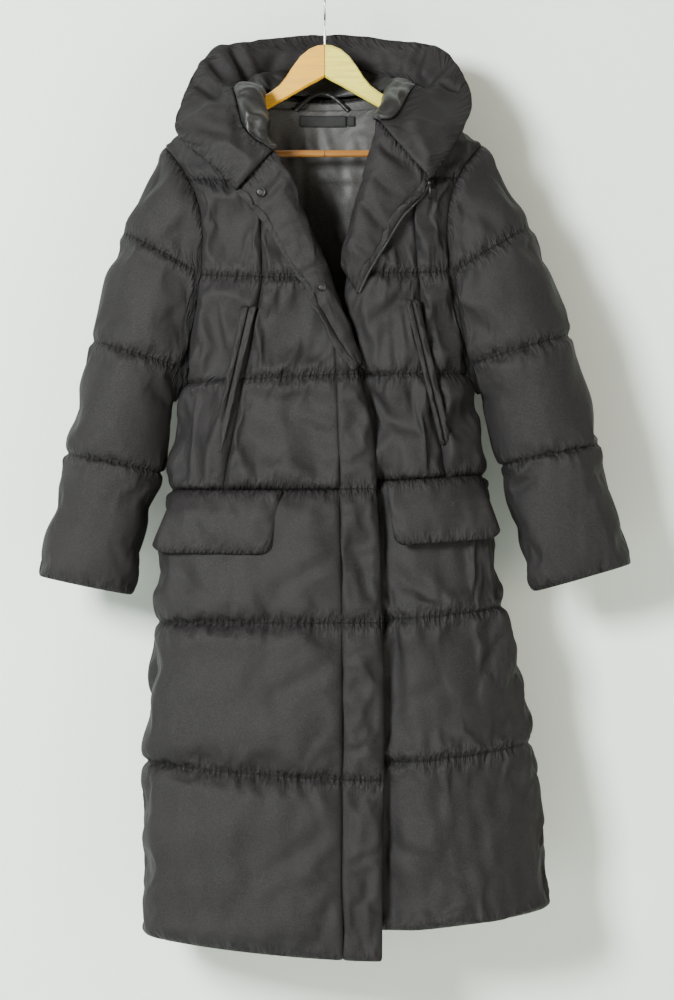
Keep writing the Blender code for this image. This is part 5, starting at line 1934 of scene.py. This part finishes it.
class Coat:
    """The whole coat on its hanger."""

    def __init__(self) -> None:
        """Makes the materials."""
        self.shell = SHELL.material()
        # Lit and shaded copies of one lining cloth: painted lighter for the back lining, painted darker for
        # the hood's lining.
        self.lining = LINING.material()
        self.hood_lining = HOOD_LINING_PAINTED_DARKER.material()
        self.tape = BLACK_TAPE.material()
        self.snap = SNAP_METAL.material()
        self.coil = COIL.material()

    def quilts(self) -> None:
        """Builds every padded piece and the hood's lining."""
        quilts = BodyPanels().pieces()
        LOG.info("body: %d panels", len(quilts))
        quilts.append(Sleeve("sleeve_right", -1, SLEEVE_RIGHT, STITCHES_RIGHT).piece(30))
        quilts.append(Sleeve("sleeve_left", 1, SLEEVE_LEFT, STITCHES_LEFT).piece(31))
        LOG.info("two sleeves")
        quilts += Hood().pieces()
        LOG.info("hood: three bands")
        trim = FrontTrim()
        quilts += [*TurnedFronts().pieces(), trim.placket(), *trim.welts(), *trim.flaps()]
        LOG.info("fronts turned out, placket, pockets")
        blow_up(quilts)
        LOG.info("cloth blown up")
        for quilt in quilts:
            lining = quilt.name == "hood_lining"
            inner = self.lining if quilt.name.startswith(("back", "front", "sleeve")) else self.shell
            obj = quilt.sew(self.hood_lining if lining else self.shell, self.hood_lining if lining else inner)
            obj.name = quilt.name + "_cloth"
            self.place(obj, quilt.nodes, "lining_cloth" if lining else "shell_cloth")

    @staticmethod
    def extent(points: Array) -> tuple[float, float]:
        """Longest row and longest column of a piece, in metres, with a little for the gathers."""
        return (round(float(lengths_along(points, 1)[:, -1].max()) * MM * GATHER_ALLOWANCE, 3),
                round(float(lengths_along(points, 0)[-1].max()) * MM * GATHER_ALLOWANCE, 3))

    @staticmethod
    def area(points: Array) -> float:
        """Area of a grid of points, in square metres."""
        over, down = np.diff(points, axis=1)[:-1], np.diff(points, axis=0)[:, :-1]
        return float(np.linalg.norm(np.cross(over, down), axis=-1).sum()) * MM * MM

    @staticmethod
    def place(obj: bpy.types.Object, nodes: tuple[str, ...], slot: str) -> None:
        """Puts a piece in the coat, in place of its CAD nodes."""
        if nodes:
            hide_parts(*nodes)
        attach(obj, "root")

    def thin(self) -> None:
        """Builds the thin pieces inside the neck and along the zip."""
        inside, zipper = Inside(), Zip()
        for thin, finish, slot, rests in (
            (inside.lining(), self.lining, "lining_cloth", "back_cloth"),
            (inside.label(), self.tape, "black_tape", "back_lining_cloth"),
            (inside.size_tab(), self.tape, "black_tape", "back_lining_cloth"),
            (zipper.tape(), self.tape, "black_tape", "facing_left_cloth"),
        ):
            obj = thin.sew(finish)
            self.place(obj, thin.nodes, slot)
        coil, slider = zipper.coil(self.coil), zipper.slider(self.snap)
        for obj in (coil, slider):
            self.place(obj, (), "snap_metal")
        LOG.info("lining, label, tab and zip")

    def loop(self) -> None:
        """Builds the rolled hanging loop."""
        obj = Inside().loop(self.hood_lining)
        self.place(obj, ("hang_loop",), "black_tape")
        LOG.info("hanging loop")

    def hanger(self) -> None:
        """Gives the hanger and the snaps their finishes."""
        wood, steel, bar = WOOD.material(), STEEL.material(), BAR_WOOD.material()
        for node, finish in (("hanger_arms", wood), ("hanger_bar", bar), ("hanger_hook", steel),
                             ("snap_upper", self.snap), ("snap_lower", self.snap)):
            bpy.data.objects[node].material_slots[0].material = finish
        LOG.info("hanger and snaps")


def main() -> None:
    """Builds the coat, its hanger and the studio."""
    logging.basicConfig(level=logging.INFO, format="%(name)s: %(message)s")
    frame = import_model()
    coat = Coat()
    coat.quilts()
    coat.thin()
    coat.loop()
    coat.hanger()
    Studio().build()


if __name__ == "__main__":
    main()
